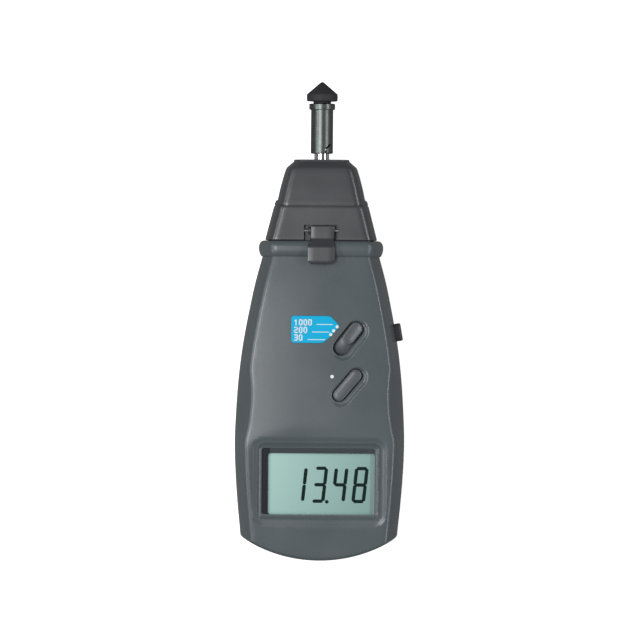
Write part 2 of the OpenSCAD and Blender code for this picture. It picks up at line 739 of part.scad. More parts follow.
header_pins = 12;
header_step = 2.54;
module board_header() {
    body = 2.2;
    pin = 0.6;
    y = board_low + 2 * body / 3;
    low = board_z + board_t + body / 2;
    top = plane_z(y) - (display_board_top + board_t) / cos(facet_tilt) - set_gap;
    color([0.2, 0.2, 0.2]) set_down() {
        block([header_pins * header_step, body, body], [0, y, low]);
        for (i = [0:header_pins - 1])
            block([pin, pin, top - low],
                [(i - (header_pins - 1) / 2) * header_step, y, (top + low) / 2]);
    }
}

module crystal() {
    end_r = 1.8;
    pitch = 6;
    height = 3.4;
    color(steel) set_down() translate([-0.2 * case_w, 0.68 * case_len, board_z + board_t])
        pill(end_r, pitch, height);
}

module board_parts() {
    chip = [2, 1.25, 0.8];
    across = [1.25, 2, 0.8];
    pitch = 4;
    can_r = 2.5;
    can_h = 5.4;
    color([0.25, 0.2, 0.15]) set_down() translate([-0.18 * case_w, 0, board_z + board_t]) {
        for (i = [0:5]) block(chip, [pitch * (i - 1), 0.73 * case_len, chip[2] / 2]);
        for (i = [0:4]) block(across, [pitch * i, 0.86 * case_len, chip[2] / 2]);
        for (i = [0:1]) translate([2 * pitch * i, 0.64 * case_len, 0]) cylinder(h = can_h, r = can_r);
    }
}

module case_screws() {
    socket = 0.45 * screw_head_r;
    slot_w = 0.5;
    color(steel) set_down() for (p = screw_spots())
        translate([p[0], p[1], back_z(p[1]) + screw_seat]) difference() {
            union() {
                cylinder(h = screw_len + split_z - screw_seat - back_z(p[1]) - screw_end_gap,
                    r = screw_d / 2);
                translate([0, 0, -screw_head_h]) cylinder(h = screw_head_h, r = screw_head_r);
            }
            for (turn = [0, 90]) rotate([0, 0, turn])
                block([2 * socket, slot_w, screw_head_h], [0, 0, -screw_head_h]);
        }
}

module mode_label() {
    color([0, 0.6, 0.83]) set_down() at_label() label_plate(0, label_t);
}

switch_z = board_z + board_t;
switch_len = 17;
switch_w = 8;
switch_h = 5.6;
wiper_len = 5;
wiper_w = 4;
wiper_t = 2.2;
module mode_switch() {
    color([0.18, 0.18, 0.2]) set_down() at_slot(switch_z) difference() {
        round_plate(switch_len, switch_w, sheet_r, switch_h);
        translate([0, 0, switch_h - wiper_t - 2 * move_gap])
            round_plate(knob_travel + wiper_len + 2 * move_gap, wiper_w + 2 * move_gap, sheet_r, switch_h);
    }
}

module at_knob(z) {
    at_slot(z) translate([knob_travel / 2, 0, 0]) children();
}

// Top of a flange that stays under the shell's wall all along a slot
function flange_top(x, y, turn, reach) =
    face_z(x + reach * cos(turn), y + reach * sin(turn)) - wall - move_gap;
flange_z = flange_top(slot_x, slot_y, slot_turn, slot_r + slot_pitch / 2 + knob_travel) - flange_t;
knob_rise = 0.4;
flange_lap = 0.7;
knob_top = face_z(slot_x, slot_y) + knob_rise - flange_z;
module mode_knob() {
    ridges = 5;
    ridge_pitch = 1.4;
    groove_w = 0.5;
    groove_depth = 0.4;
    stem = flange_z - switch_z - switch_h + move_gap;
    color(grey) set_down() at_knob(flange_z) difference() {
        union() {
            pill(slot_r + flange_lap, slot_pitch + knob_travel / 2 + flange_lap, flange_t);
            pill(knob_w / 2, knob_len - knob_w, knob_top);
            block([wiper_w, 0.75 * wiper_w, stem + over], [0, 0, (over - stem) / 2]);
        }
        for (i = [0:ridges - 1]) block([groove_w, knob_w, 2 * groove_depth],
            [(i - (ridges - 1) / 2) * ridge_pitch, 0, knob_top]);
    }
}

module mode_wiper() {
    color([0.8, 0.8, 0.75]) set_down() at_knob(switch_z + switch_h - wiper_t - move_gap)
        round_plate(wiper_len, wiper_w, sheet_r, wiper_t);
}

tact_h = 3.4;
tact_w = 6;
module tact(plunger_r) {
    difference() {
        block([tact_w, tact_w, tact_h], [0, 0, tact_h / 2]);
        translate([0, 0, tact_h - press - 2 * move_gap])
            cylinder(h = tact_h, r = plunger_r + run_gap + set_gap);
    }
}

plunger_r = 1.7;
plunger_rise = 2;
module memory_switch() {
    color([0.16, 0.16, 0.18]) set_down() at_memory(switch_z) tact(plunger_r);
}

plunger_top = switch_z + tact_h + plunger_rise;
module memory_plunger() {
    color([0.85, 0.85, 0.8]) set_down() at_memory(switch_z + tact_h - move_gap)
        cylinder(h = plunger_top - switch_z - tact_h + move_gap, r = plunger_r);
}

module memory_button() {
    stem_r = 2;
    dome_share = 0.3;
    dome_sides = 24;
    r = memory_r - memory_gap;
    low = flange_top(memory_x, memory_y, memory_turn, memory_r + memory_pitch / 2) - flange_t;
    top = face_z(memory_x, memory_y);
    color(grey) set_down() at_memory(plunger_top) {
        cylinder(h = low - plunger_top + over / 2, r = stem_r);
        translate([0, 0, low - plunger_top]) {
            pill(memory_r + flange_lap, memory_pitch, flange_t);
            pill(r, memory_pitch, top - low);
        }
        hull() for (x = [-1, 1]) translate([x * memory_pitch / 2, 0, top - plunger_top])
            scale([1, 1, dome_share]) sphere(r, $fn = dome_sides);
    }
}

tact_x = -11.5;
module measure_switch() {
    color([0.16, 0.16, 0.18]) set_down() at_measure() translate([tact_x, 0, 0])
        rotate([0, 90, 0]) tact(plunger_r);
}

measure_reach = 1.6;
measure_join = tact_x + tact_h + measure_reach;
module measure_plunger() {
    color([0.85, 0.85, 0.8]) set_down() at_measure() translate([tact_x + tact_h - move_gap, 0, 0])
        rotate([0, 90, 0]) cylinder(h = measure_join - tact_x - tact_h + move_gap, r = plunger_r);
}

module measure_button() {
    r = 1.6;
    lean = 18;
    stem_w = 3;
    low = -wall - face_inset / 2 - flange_t - move_gap;
    color(black) set_down() at_measure() {
        rotate([0, 90, 0]) translate([0, 0, low]) difference() {
            round_plate(measure_h, measure_len, r, measure_out - low);
            translate([0, 0, measure_out - low]) rotate([0, lean, 0])
                block([2 * measure_h, 2 * measure_len, measure_h], [0, 0, measure_h / 2]);
        }
        block([flange_t, measure_len + 4 * move_gap, measure_h + move_gap],
            [low + flange_t / 2, 0, move_gap]);
        block([low - measure_join + flange_t / 2, stem_w, stem_w],
            [(low + measure_join + flange_t / 2) / 2, 0, 0]);
    }
}

module battery_cells() {
    nub_r = 2.75;
    color([0.3, 0.32, 0.34]) set_down() for (i = [0:3]) {
        flip = i % 2;
        low = bay_y + contact_t + set_gap + (flip ? spring_len + set_gap : 0);
        body_low = flip ? low : low + nub_len;
        body_high = flip ? low + cell_len - nub_len : low + cell_len;
        along_y(body_low, body_high, cell_d / 2, x = cell_x(i), z = cell_z);
        along_y(flip ? body_high : low, flip ? body_high + nub_len : body_low, nub_r,
            x = cell_x(i), z = cell_z);
    }
}

module battery_springs() {
    spring_r = 3;
    turns = 4;
    color(steel) set_down() for (i = [0:3]) {
        low = i % 2 ? bay_y + contact_t : bay_end - contact_t - spring_len;
        translate([cell_x(i), low, cell_z]) rotate([-90, 0, 0])
            coil(spring_r, spring_wire, turns, spring_len);
    }
}

module battery_contacts() {
    color(steel) set_down() for (i = [0:3]) for (y = [bay_y, bay_end - contact_t])
        block([0.7 * cell_d, contact_t, 0.7 * cell_d], [cell_x(i), y + contact_t / 2, cell_z]);
}

module optics_block() {
    color(black) set_down() difference() {
        block([optic_w - 10 * set_gap, block_len, nose_d - 2 * wall - 2 * nose_draft - 4 * set_gap],
            [0, block_end - block_len / 2, head_axis]);
        along_y(block_end - block_len - over, block_end + over, laser_r + set_gap,
            x = laser_x, z = head_axis);
        along_y(block_end - block_len + lens_seat, block_end + over, lens_r + set_gap,
            x = lens_x, z = head_axis);
        along_y(block_end - block_len - over, block_end, diode_r + set_gap, x = lens_x, z = head_axis);
    }
}

module laser_module() {
    sink = 1;
    eye_depth = 1.4;
    color([0.7, 0.6, 0.3]) set_down() difference() {
        along_y(block_end - block_len - laser_tail, block_end - sink, laser_r, x = laser_x, z = head_axis);
        along_y(block_end - sink - eye_depth, block_end + over, laser_r / 2, x = laser_x, z = head_axis);
    }
}

module receiver_lens() {
    bulge = 1.6;
    rim = 2;
    r = (lens_r ^ 2 + bulge ^ 2) / (2 * bulge);
    color([0.7, 0.85, 0.9, 0.5]) set_down() translate([lens_x, block_end - 2 * rim, head_axis])
        rotate([-90, 0, 0]) {
            cylinder(h = rim, r = lens_r);
            intersection() {
                translate([0, 0, rim + bulge - r]) sphere(r);
                translate([0, 0, rim - set_gap]) cylinder(h = 2 * bulge, r = lens_r);
            }
        }
}

module photodiode() {
    color([0.12, 0.1, 0.14]) set_down() {
        along_y(block_end - block_len - diode_tail, block_end - block_len + 3 * diode_tail, diode_r,
            x = lens_x, z = head_axis);
        for (side = [-1, 1]) block([lead_t, lead_len, lead_t],
            [lens_x + side * lead_x, block_end - block_len - diode_tail - lead_len / 2, head_axis]);
    }
}

module photo_window() {
    color([0.5, 0.1, 0.1, 0.5]) set_down() translate([0, nose_end - wall - set_gap, head_axis])
        rotate([90, 0, 0]) pill(optic_h / 2 + window_t, optic_w - optic_h, window_t);
}

// Quarter of a head's cross line, from its side to the edge of its face
function head_quarter(w, h, lean, rnd) =
    let (x = w - lean - rnd,
         corner = [for (turn = [70, 45, 20]) [x + rnd * sin(turn), h - rnd * (1 - cos(turn))]])
    concat([[w, 0], [(w + corner[0][0]) / 2 + 0.12 * lean, corner[0][1] / 2]], corner, [[x, h], [x / 2, h]]);
function turned(list) = [for (i = [len(list) - 1:-1:0]) list[i]];
function tail(list) = [for (i = [1:len(list) - 1]) list[i]];
function head_line(w, h, lean, rnd) =
    let (q = head_quarter(w, h, lean, rnd))
    concat(q, [[0, h]], turned([for (p = q) [-p[0], p[1]]]), tail([for (p = q) [-p[0], -p[1]]]), [[0, -h]],
        turned(tail([for (p = q) [p[0], -p[1]]])));
// A ring is its place, half width, half depth, lean of its sides and rounding of its edges
function ring_points(r) = [for (p = head_line(r[1], r[2], r[3], r[4])) [p[0], r[0], p[1] + head_axis]];

// Closed cup with its mouth at the first ring: outer rings up to a flat end, and inner rings
module cup(outer, inner) {
    n = len(ring_points(outer[0]));
    a = len(outer);
    b = len(inner);
    function id(r, k) = r * n + k % n;
    quads = concat(
        [for (r = [0:a - 2]) for (k = [0:n - 1]) [id(r, k), id(r + 1, k), id(r + 1, k + 1), id(r, k + 1)]],
        [for (r = [a:a + b - 2]) for (k = [0:n - 1])
            [id(r, k), id(r, k + 1), id(r + 1, k + 1), id(r + 1, k)]],
        [for (k = [0:n - 1]) [id(0, k), id(0, k + 1), id(a, k + 1), id(a, k)]]);
    ends = [[for (k = [0:n - 1]) id(a - 1, k)], [for (k = [n - 1:-1:0]) id(a + b - 1, k)]];
    points = flat_list([for (r = concat(outer, inner)) ring_points(r)]);
    polyhedron(points, [for (f = concat([for (q = quads) for (t = halves(q)) t], ends)) turned(f)]);
}

base_w_share = 0.842;
base_d_share = 0.9;
head_lean = 4;
head_round = 1.4;
function base_ring(y, in) =
    let (t = (y - head_y) / base_len)
    [y, head_w / 2 * (1 + (base_w_share - 1) * t) - in, head_d / 2 * (1 + (base_d_share - 1) * t) - in,
     head_lean, head_round];
// Outline of the upper part: shares of its length, of its half width and of its half depth
cap_shares = [[0, 1, 1], [0.136, 0.96, 0.972], [0.317, 0.926, 0.935], [0.588, 0.856, 0.865],
    [0.764, 0.802, 0.82], [0.819, 0.777, 0.795], [0.955, 0.624, 0.6], [1, 0.609, 0.585]];
cap_d = 24.6;
cap_lean_share = 0.9;
function cap_ring(s, in) =
    [cap_body_y + s[0] * cap_len, s[1] * cap_w / 2 - in, s[2] * cap_d / 2 - in,
     cap_lean_share * head_lean * s[1], head_round];
bearing_stand = 1;
seat_y = cap_y - bearing_w + bearing_stand;
shoulder = 0.9;
floor_y = seat_y - move_gap;
tower_wall = 2;
function head_face(y) = head_axis + base_ring(y, 0)[2];
pivot_rise = 4.3;
pivot_y = head_y + pivot_rise;
pin_drop = 1.7;
notch_floor = 2;
pivot_z = head_face(pivot_y) - pin_drop;
notch_len = 6.9;
head_screw_x = 13;
head_screw_r = 1;
head_post_r = 2.6;
head_post_len = 8;
head_edge = 0.5;
lug = 2.4;
lug_len = 4;
lug_h = 3;

module both_faces() {
    children();
    translate([0, 0, 2 * head_axis]) mirror([0, 0, 1]) children();
}

module head_base() {
    color(head_grey) set_down() difference() {
        union() {
            cup([base_ring(head_y, head_edge), base_ring(head_y + head_edge, 0),
                 base_ring((head_y + cap_y) / 2, 0), base_ring(cap_y - head_edge, 0),
                 base_ring(cap_y, head_edge)],
                [base_ring(head_y, head_wall), base_ring(floor_y, head_wall)]);
            along_y(floor_y + over / 4, cap_y + bearing_stand, bearing_d / 2 + tower_wall, z = head_axis);
            both_faces() for (x = [-1, 1]) block([lug, lug_len, lug_h],
                [x * (notch_w + lug) / 2, pivot_y, pivot_z + 2 * set_gap]);
        }
        along_y(floor_y - over, cap_y + 2 * over, bearing_d / 2 - shoulder, z = head_axis);
        along_y(seat_y, cap_y + 2 * over, bearing_d / 2 + run_gap, z = head_axis);
        both_faces() {
            block([notch_w, notch_len + over, 2 * (pin_drop + notch_floor)],
                [0, head_y + (notch_len - over) / 2, pivot_z]);
            translate([0, pivot_y, pivot_z]) rotate([0, 90, 0])
                cylinder(h = notch_w + 2 * lug - 2 * move_gap, r = pin_d / 2 + fit, center = true);
        }
        for (x = [-1, 1]) along_y(floor_y - over, cap_y + over, head_screw_r + move_gap,
            x = x * head_screw_x, z = head_axis);
    }
}

function neck_ring(y, in = 0) =
    [y, cap_w / 2 - neck_inset - in, cap_d / 2 - neck_inset - in, cap_lean_share * head_lean, head_round];

front_seat = head_end - bearing_w - bearing_stand;
module head_cap() {
    lip = 0.5;
    color(head_grey) set_down() difference() {
        union() {
            cup(concat([neck_ring(cap_y), neck_ring(cap_body_y)], [for (s = cap_shares) cap_ring(s, 0)]),
                [neck_ring(cap_y, head_wall), cap_ring(cap_shares[3], head_wall)]);
            for (x = [-1, 1]) along_y(cap_y, cap_y + head_post_len, head_post_r,
                x = x * head_screw_x, z = head_axis);
            along_y(front_seat - bearing_w / 2, head_end - lip, bearing_d / 2 + tower_wall, z = head_axis);
        }
        along_y(front_seat - bearing_w / 2 - lip, head_end - bearing_stand, bearing_d / 2 + run_gap,
            z = head_axis);
        along_y(front_seat, head_end + over, shaft_d / 2 + move_gap, z = head_axis);
        for (x = [-1, 1]) along_y(cap_y - over, cap_y + head_post_len - bearing_stand, head_screw_r + run_gap,
            x = x * head_screw_x, z = head_axis);
    }
}

module head_screws() {
    head_h = 1.8;
    head_r = 2.2;
    length = 6;
    color(steel) set_down() for (x = [-1, 1]) {
        along_y(floor_y - head_h, floor_y, head_r, x = x * head_screw_x, z = head_axis);
        along_y(floor_y, cap_y + length, head_screw_r, x = x * head_screw_x, z = head_axis);
    }
}

module latch_pins() {
    color(steel) set_down() both_faces() translate([0, pivot_y, pivot_z]) rotate([0, 90, 0])
        cylinder(h = notch_w + 1.5 * lug, r = pin_d / 2, center = true);
}

latch_spring_w = 4;
latch_wire = 0.45;
module latch_springs() {
    turns = 5;
    color(steel) set_down() both_faces() translate([-latch_spring_w / 2, pivot_y, pivot_z]) rotate([0, 90, 0])
        coil(pin_d / 2 + latch_wire + run_gap, latch_wire, turns, latch_spring_w);
}

bead_top = crown_z(case_len) + collar_h;
tab_t = 1.8;
tab_gap = 0.3;
plate_t = 1.9;
plate_rise = 0.5;
bend_drop = 3;
bend_y = head_y - bend_drop;
foot_rise = 0.6;
foot_y = head_y + foot_rise;
slope_shift = 0.2;
tab_taper = 1;
tab_corner = 1.6;
tab_bevel = 0.7;
hub_wall = 1;
// Latch on the front: tab over the collar, slope down to the head, pad and hub round the pin
module latch_body() {
    low = bead_top + tab_gap;
    face = head_face(pivot_y) + plate_rise;
    start = head_y - tab_len;
    pad_end = head_y + notch_len - move_gap;
    half = latch_w / 2;
    difference() {
        union() {
            intersection() {
                translate([-latch_w, 0, 0]) rotate([90, 0, 90]) linear_extrude(2 * latch_w) polygon([
                    [start, low], [start, low + tab_t - tab_bevel], [start + tab_t, low + tab_t],
                    [bend_y, low + tab_t], [foot_y, face], [pad_end, face],
                    [pad_end, face - plate_t + move_gap],
                    [pivot_y + hub_wall, face - plate_t], [foot_y + slope_shift, face - plate_t],
                    [bend_y - slope_shift, low]]);
                linear_extrude(2 * case_depth) polygon([
                    [tab_taper - half, start], [half - tab_taper, start], [half, start + tab_corner],
                    [half, pad_end], [-half, pad_end], [-half, start + tab_corner]]);
            }
            translate([0, pivot_y, pivot_z]) rotate([0, 90, 0])
                cylinder(h = latch_w - 2 * set_gap, r = pin_d / 2 + hub_wall, center = true);
        }
        hub_bore();
        spring_room();
    }
}

module hub_bore() {
    translate([0, pivot_y, pivot_z]) rotate([0, 90, 0])
        cylinder(h = latch_w + 2 * over, r = pin_d / 2 + run_gap, center = true);
}

module spring_room() {
    translate([0, pivot_y, pivot_z]) rotate([0, 90, 0])
        cylinder(h = latch_spring_w + 2 * move_gap, r = pin_d / 2 + hub_wall + 1.5 * set_gap, center = true);
}

module front_latch() {
    color(head_grey) set_down() latch_body();
}

module rear_latch() {
    color(head_grey) set_down() translate([0, 0, 2 * head_axis]) mirror([0, 0, 1]) latch_body();
}

bearing_starts = [seat_y, front_seat];
race_r = (journal_d + bearing_d) / 4;
race_gap = 0.6;
ball_r = 1;
module ball_track() {
    translate([0, bearing_w / 2, 0]) rotate([90, 0, 0]) rotate_extrude() translate([race_r, 0])
        circle(ball_r + run_gap);
}

module bearing_outers() {
    color(steel) set_down() for (y = bearing_starts) translate([0, y, head_axis]) difference() {
        along_y(0, bearing_w, bearing_d / 2);
        along_y(-over, bearing_w + over, race_r + race_gap);
        ball_track();
    }
}

module bearing_inners() {
    color(steel) set_down() for (y = bearing_starts) translate([0, y, head_axis]) difference() {
        along_y(0, bearing_w, race_r - race_gap);
        along_y(-over, bearing_w + over, journal_d / 2 + fit);
        ball_track();
    }
}

module bearing_balls() {
    balls = 8;
    color(steel) set_down() for (y = bearing_starts) for (i = [0:balls - 1])
        translate([0, y + bearing_w / 2, head_axis]) rotate([0, 360 * i / balls, 0]) translate([race_r, 0, 0])
            sphere(ball_r);
}

shaft_low = nose_end + 3 * move_gap;
sleeve_hold = 5;
shaft_end = cone_y - sleeve_hold;
clip_t = 0.6;
clip_groove = 0.8;
clip_y = seat_y - clip_t - 3 * set_gap;
module shaft() {
    chamfer = 0.5;
    step_y = head_end - bearing_stand + set_gap;
    color(steel) set_down() translate([0, 0, head_axis]) difference() {
        union() {
            along_y(shaft_low, step_y, journal_d / 2);
            along_y(step_y - run_gap, shaft_end - chamfer, shaft_d / 2);
            along_y(shaft_end - chamfer, shaft_end, shaft_d / 2, shaft_d / 2 - chamfer);
        }
        difference() {
            along_y(clip_y - set_gap, clip_y - set_gap + clip_groove, journal_d);
            along_y(clip_y - over, clip_y + clip_groove + over, journal_d / 2 - chamfer);
        }
        rotate([0, pin_turn, 0]) translate([0, pin_y, 0]) cylinder(h = 2 * shaft_d, r = drive_r + fit);
    }
}

disc_r = 10;
disc_t = 1.2;
module target_disc() {
    hub_len = 0.5;
    color([0.85, 0.86, 0.86]) set_down() translate([0, 0, head_axis]) difference() {
        union() {
            along_y(shaft_low, shaft_low + disc_t, disc_r);
            along_y(shaft_low + disc_t - run_gap, shaft_low + disc_t + hub_len, 0.75 * journal_d);
        }
        along_y(shaft_low - over, shaft_low + 2 * disc_t + over, journal_d / 2 + fit);
    }
}

module circlip() {
    ring_w = 1.1;
    mouth = 1.6;
    color([0.3, 0.3, 0.3]) set_down() translate([0, 0, head_axis]) difference() {
        along_y(clip_y, clip_y + clip_t, journal_d / 2 + ring_w);
        along_y(clip_y - over, clip_y + clip_t + over, journal_d / 2 - move_gap);
        block([mouth, 4 * clip_t, journal_d], [0, clip_y, -journal_d / 2]);
    }
}

pin_turn = 20;
drive_r = 0.5;
pin_rise = 1.7;
pin_y = sleeve_y + pin_rise;
module drive_pin() {
    root = 1.4;
    color(steel) set_down() translate([0, 0, head_axis]) rotate([0, pin_turn, 0]) translate([0, pin_y, root])
        cylinder(h = sleeve_d / 2 - root - 2 * set_gap, r = drive_r);
}

plug_r = 3;
module tip_sleeve() {
    slot_len = 3;
    slot_half = drive_r + set_gap;
    branch_len = 2.4;
    branch_turn = 50;
    fillet = 0.3;
    bevel = 0.4;
    color([0.33, 0.35, 0.35]) set_down() translate([0, 0, head_axis]) difference() {
        union() {
            along_y(sleeve_y, sleeve_y + bevel, sleeve_d / 2 - fillet, sleeve_d / 2);
            along_y(sleeve_y + bevel - run_gap, cone_y - flange_len + set_gap, sleeve_d / 2);
            along_y(cone_y - flange_len, cone_y - bevel, flange_d / 2);
            along_y(cone_y - bevel - run_gap, cone_y, flange_d / 2, flange_d / 2 - fillet);
        }
        along_y(sleeve_y - over, shaft_end + fillet, shaft_d / 2 + run_gap);
        along_y(shaft_end, cone_y + over, plug_r);
        rotate([0, pin_turn, 0]) {
            block([2 * slot_half, slot_len + over, sleeve_d],
                [0, sleeve_y + (slot_len - over) / 2, sleeve_d / 2]);
            translate([0, sleeve_y + slot_len - slot_half, sleeve_d / 2]) rotate([0, 0, -branch_turn])
                block([2 * slot_half, branch_len, sleeve_d], [0, branch_len / 2, 0]);
        }
    }
}

module tip_cone() {
    point_r = 0.5;
    plug_len = 4.4;
    rim_y = cone_y + cone_neck;
    color(black) set_down() translate([0, 0, head_axis]) {
        along_y(cone_y - plug_len, cone_y + set_gap, plug_r - run_gap);
        along_y(cone_y + run_gap, rim_y + set_gap, neck_d / 2);
        along_y(rim_y, rim_y + point_r, cone_d / 2 - point_r, cone_d / 2);
        along_y(rim_y + point_r - run_gap, rim_y + cone_rim, cone_d / 2);
        along_y(rim_y + cone_rim - run_gap, overall_len, cone_d / 2 + run_gap, point_r);
    }
}

front_case();
rear_case();
display_window();
lcd_frame();
lcd_glass();
lcd_digits();
lcd_reflector();
zebra_strips();
display_board();
controller_chip();
main_board();
board_header();
crystal();
board_parts();
board_screws();
case_screws();
mode_label();
mode_switch();
memory_switch();
measure_switch();
battery_cells();
battery_springs();
battery_contacts();
optics_block();
laser_module();
receiver_lens();
photodiode();
photo_window();
battery_door();
mode_knob();
mode_wiper();
memory_button();
memory_plunger();
measure_button();
measure_plunger();
head_base();
head_cap();
head_screws();
latch_pins();
latch_springs();
bearing_outers();
bearing_balls();
front_latch();
rear_latch();
shaft();
bearing_inners();
target_disc();
circlip();
drive_pin();
tip_sleeve();
tip_cone();
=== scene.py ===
import json
import math
import bmesh
import bpy
import numpy as np
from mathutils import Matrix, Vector
from mathutils.geometry import delaunay_2d_cdt


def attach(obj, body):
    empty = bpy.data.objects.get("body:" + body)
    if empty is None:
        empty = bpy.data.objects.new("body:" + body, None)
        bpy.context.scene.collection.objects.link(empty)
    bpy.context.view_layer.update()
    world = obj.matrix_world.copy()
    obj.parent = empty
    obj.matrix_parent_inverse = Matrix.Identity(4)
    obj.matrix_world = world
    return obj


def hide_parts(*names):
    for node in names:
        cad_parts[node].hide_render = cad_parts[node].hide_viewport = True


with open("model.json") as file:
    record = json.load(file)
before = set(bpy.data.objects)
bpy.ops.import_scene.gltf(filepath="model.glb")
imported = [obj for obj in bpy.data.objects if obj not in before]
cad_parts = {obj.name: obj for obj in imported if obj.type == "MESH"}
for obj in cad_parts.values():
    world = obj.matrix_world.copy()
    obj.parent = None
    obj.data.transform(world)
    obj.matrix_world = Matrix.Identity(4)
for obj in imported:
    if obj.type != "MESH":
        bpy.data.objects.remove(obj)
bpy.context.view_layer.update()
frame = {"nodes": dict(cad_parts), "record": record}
print("frame: the packed model is loaded")

# Lengths here are millimetres. y runs along the object from the bottom edge of the case, and addMesh
# turns them to metres round the middle of its length.
toMetres = 0.001
halfLength = 107.5


# Cubic Hermite value of a table of (place, value) rows, with the mean slope of its neighbours at each row
def smoothTable(table, places):
    spots, values = np.array(table, float).T
    rises = np.diff(values) / np.diff(spots)
    leans = np.concatenate([rises[:1], (rises[1:] + rises[:-1]) / 2, rises[-1:]])
    low = np.clip(np.searchsorted(spots, places, side="right") - 1, 0, len(spots) - 2)
    step = spots[low + 1] - spots[low]
    part = (places - spots[low]) / step
    return ((2 * part**3 - 3 * part**2 + 1) * values[low] + (part**3 - 2 * part**2 + part) * step * leans[low]
            + (3 * part**2 - 2 * part**3) * values[low + 1] + (part**3 - part**2) * step * leans[low + 1])


# Lower of two heights with a soft meeting line: -k ln(exp(-a/k) + exp(-b/k))
def softMin(first, second, blend):
    return -blend * np.logaddexp(-first / blend, -second / blend)


# Smooth step 3t^2 - 2t^3 of t held between 0 and 1
def ease(share):
    held = np.clip(share, 0, 1)
    return held * held * (3 - 2 * held)


# Quads of a grid of points numbered row by row; wrap joins the last column to the first
def gridFaces(rows, cols, wrap=False):
    row, col = np.meshgrid(np.arange(rows - 1), np.arange(cols if wrap else cols - 1), indexing="ij")
    right = (col + 1) % cols
    here, after = row * cols, (row + 1) * cols
    return np.stack([here + col, here + right, after + right, after + col], -1).reshape(-1, 4)


# A grid of points (rows, columns, 3) as a patch of quads; keep drops the quads that it marks False
def patch(points, wrap=False, keep=None):
    rows, cols = points.shape[:2]
    quads = gridFaces(rows, cols, wrap)
    if keep is not None:
        quads = quads[keep.reshape(-1)]
    return points.reshape(-1, 3), quads.tolist()


# Closed rings (rings, points, 3) joined into a tube; a cap is a fan round the middle of its end ring
def loft(rings, capStart=True, capEnd=True):
    count = rings.shape[1]
    points, faces = patch(rings, wrap=True)
    total = len(points)
    around = np.arange(count)
    for wanted, first, ring in ((capStart, 0, rings[0]), (capEnd, total - count, rings[-1])):
        if wanted:
            middle = np.full(count, len(points))
            points = np.vstack([points, ring.mean(0)])
            faces = faces + np.stack([first + around, first + (around + 1) % count, middle], -1).tolist()
    return points, faces


# Ring of points round an axis along y: x = r sin a, z = axis + r cos a, for each (radius, y) of a profile
def lathe(profile, axisHeight, count=96):
    radii, places = np.array(profile, float).T
    turn = np.linspace(0, 2 * math.pi, count, endpoint=False)
    return np.stack([np.outer(radii, np.sin(turn)), np.repeat(places[:, None], count, 1),
                     axisHeight + np.outer(radii, np.cos(turn))], -1)


# Polyline with each inner corner turned into a quadratic curve that starts and ends 'reach' from the corner
def roundCorners(corners, reach, steps=4):
    corners = np.array(corners, float)
    before, here, after = corners[:-2], corners[1:-1], corners[2:]
    toBefore = before - here
    toAfter = after - here
    lengthBefore = np.linalg.norm(toBefore, axis=1, keepdims=True)
    lengthAfter = np.linalg.norm(toAfter, axis=1, keepdims=True)
    near = np.minimum(reach, 0.45 * np.minimum(lengthBefore, lengthAfter))
    start = here + toBefore / lengthBefore * near
    end = here + toAfter / lengthAfter * near
    t = np.linspace(0, 1, steps + 1)[None, :, None]
    curve = (1 - t)**2 * start[:, None] + 2 * t * (1 - t) * here[:, None] + t**2 * end[:, None]
    return np.vstack([corners[:1], curve.reshape(-1, corners.shape[1]), corners[-1:]])


# Closed polygon rounded in the same way
def roundPolygon(corners, reach, steps=4):
    corners = np.array(corners, float)
    return roundCorners(np.vstack([corners[-1:], corners, corners[:1]]), reach, steps)[1:-1]


# Outline of a rounded rectangle about the middle, from its right side on, with points about 'gap' apart
def boxLoop(width, height, radius, gap=1.2, arcSteps=8):
    turn = np.linspace(0, math.pi / 2, arcSteps + 1)
    parts = []
    for quarter, (sx, sy) in enumerate(((1, 1), (-1, 1), (-1, -1), (1, -1))):
        centre = np.array([sx * (width / 2 - radius), sy * (height / 2 - radius)])
        angle = turn + quarter * math.pi / 2
        arc = centre + radius * np.stack([np.cos(angle), np.sin(angle)], -1)
        parts.append(arc)
        side = height - 2 * radius if quarter % 2 else width - 2 * radius
        count = max(2, int(side / gap))
        nextAngle = (quarter + 1) * math.pi / 2
        along = np.array([-math.sin(nextAngle), math.cos(nextAngle)])
        parts.append(arc[-1] + along * (np.arange(1, count) / count * side)[:, None])
    return np.vstack(parts)


# Outline of a pill: two half circles of a radius whose centres are 'pitch' apart along x
def pillLoop(radius, pitch, arcSteps=20, lineSteps=10):
    turn = np.linspace(-math.pi / 2, math.pi / 2, arcSteps + 1)
    right = np.stack([pitch / 2 + radius * np.cos(turn), radius * np.sin(turn)], -1)
    line = np.linspace(pitch / 2, -pitch / 2, lineSteps + 1)[1:-1]
    line = np.stack([line, np.full(len(line), radius)], -1)
    return np.vstack([right, line, -right, -line])


# Signed distance to a rounded rectangle: |max(q, 0)| + min(max(qx, qy), 0) - r with q = |p| - half size + r
def boxDistance(x, y, width, height, radius):
    qx, qy = np.abs(x) - width / 2 + radius, np.abs(y) - height / 2 + radius
    return np.hypot(np.maximum(qx, 0), np.maximum(qy, 0)) + np.minimum(np.maximum(qx, qy), 0) - radius


# Signed distance to a pill: distance to its middle line less its radius
def pillDistance(x, y, radius, pitch):
    return np.hypot(np.maximum(np.abs(x) - pitch / 2, 0), y) - radius


# Signed distance to a convex polygon, from the farthest of its side lines
def polygonDistance(x, y, corners):
    cx, cy = np.array(corners, float).T
    alongX, alongY = np.roll(cx, -1) - cx, np.roll(cy, -1) - cy
    lengths = np.hypot(alongX, alongY) * np.sign(np.sum(cx * np.roll(cy, -1) - cy * np.roll(cx, -1)))
    reach = ((np.expand_dims(x, -1) - cx) * alongY - (np.expand_dims(y, -1) - cy) * alongX) / lengths
    return reach.max(-1)


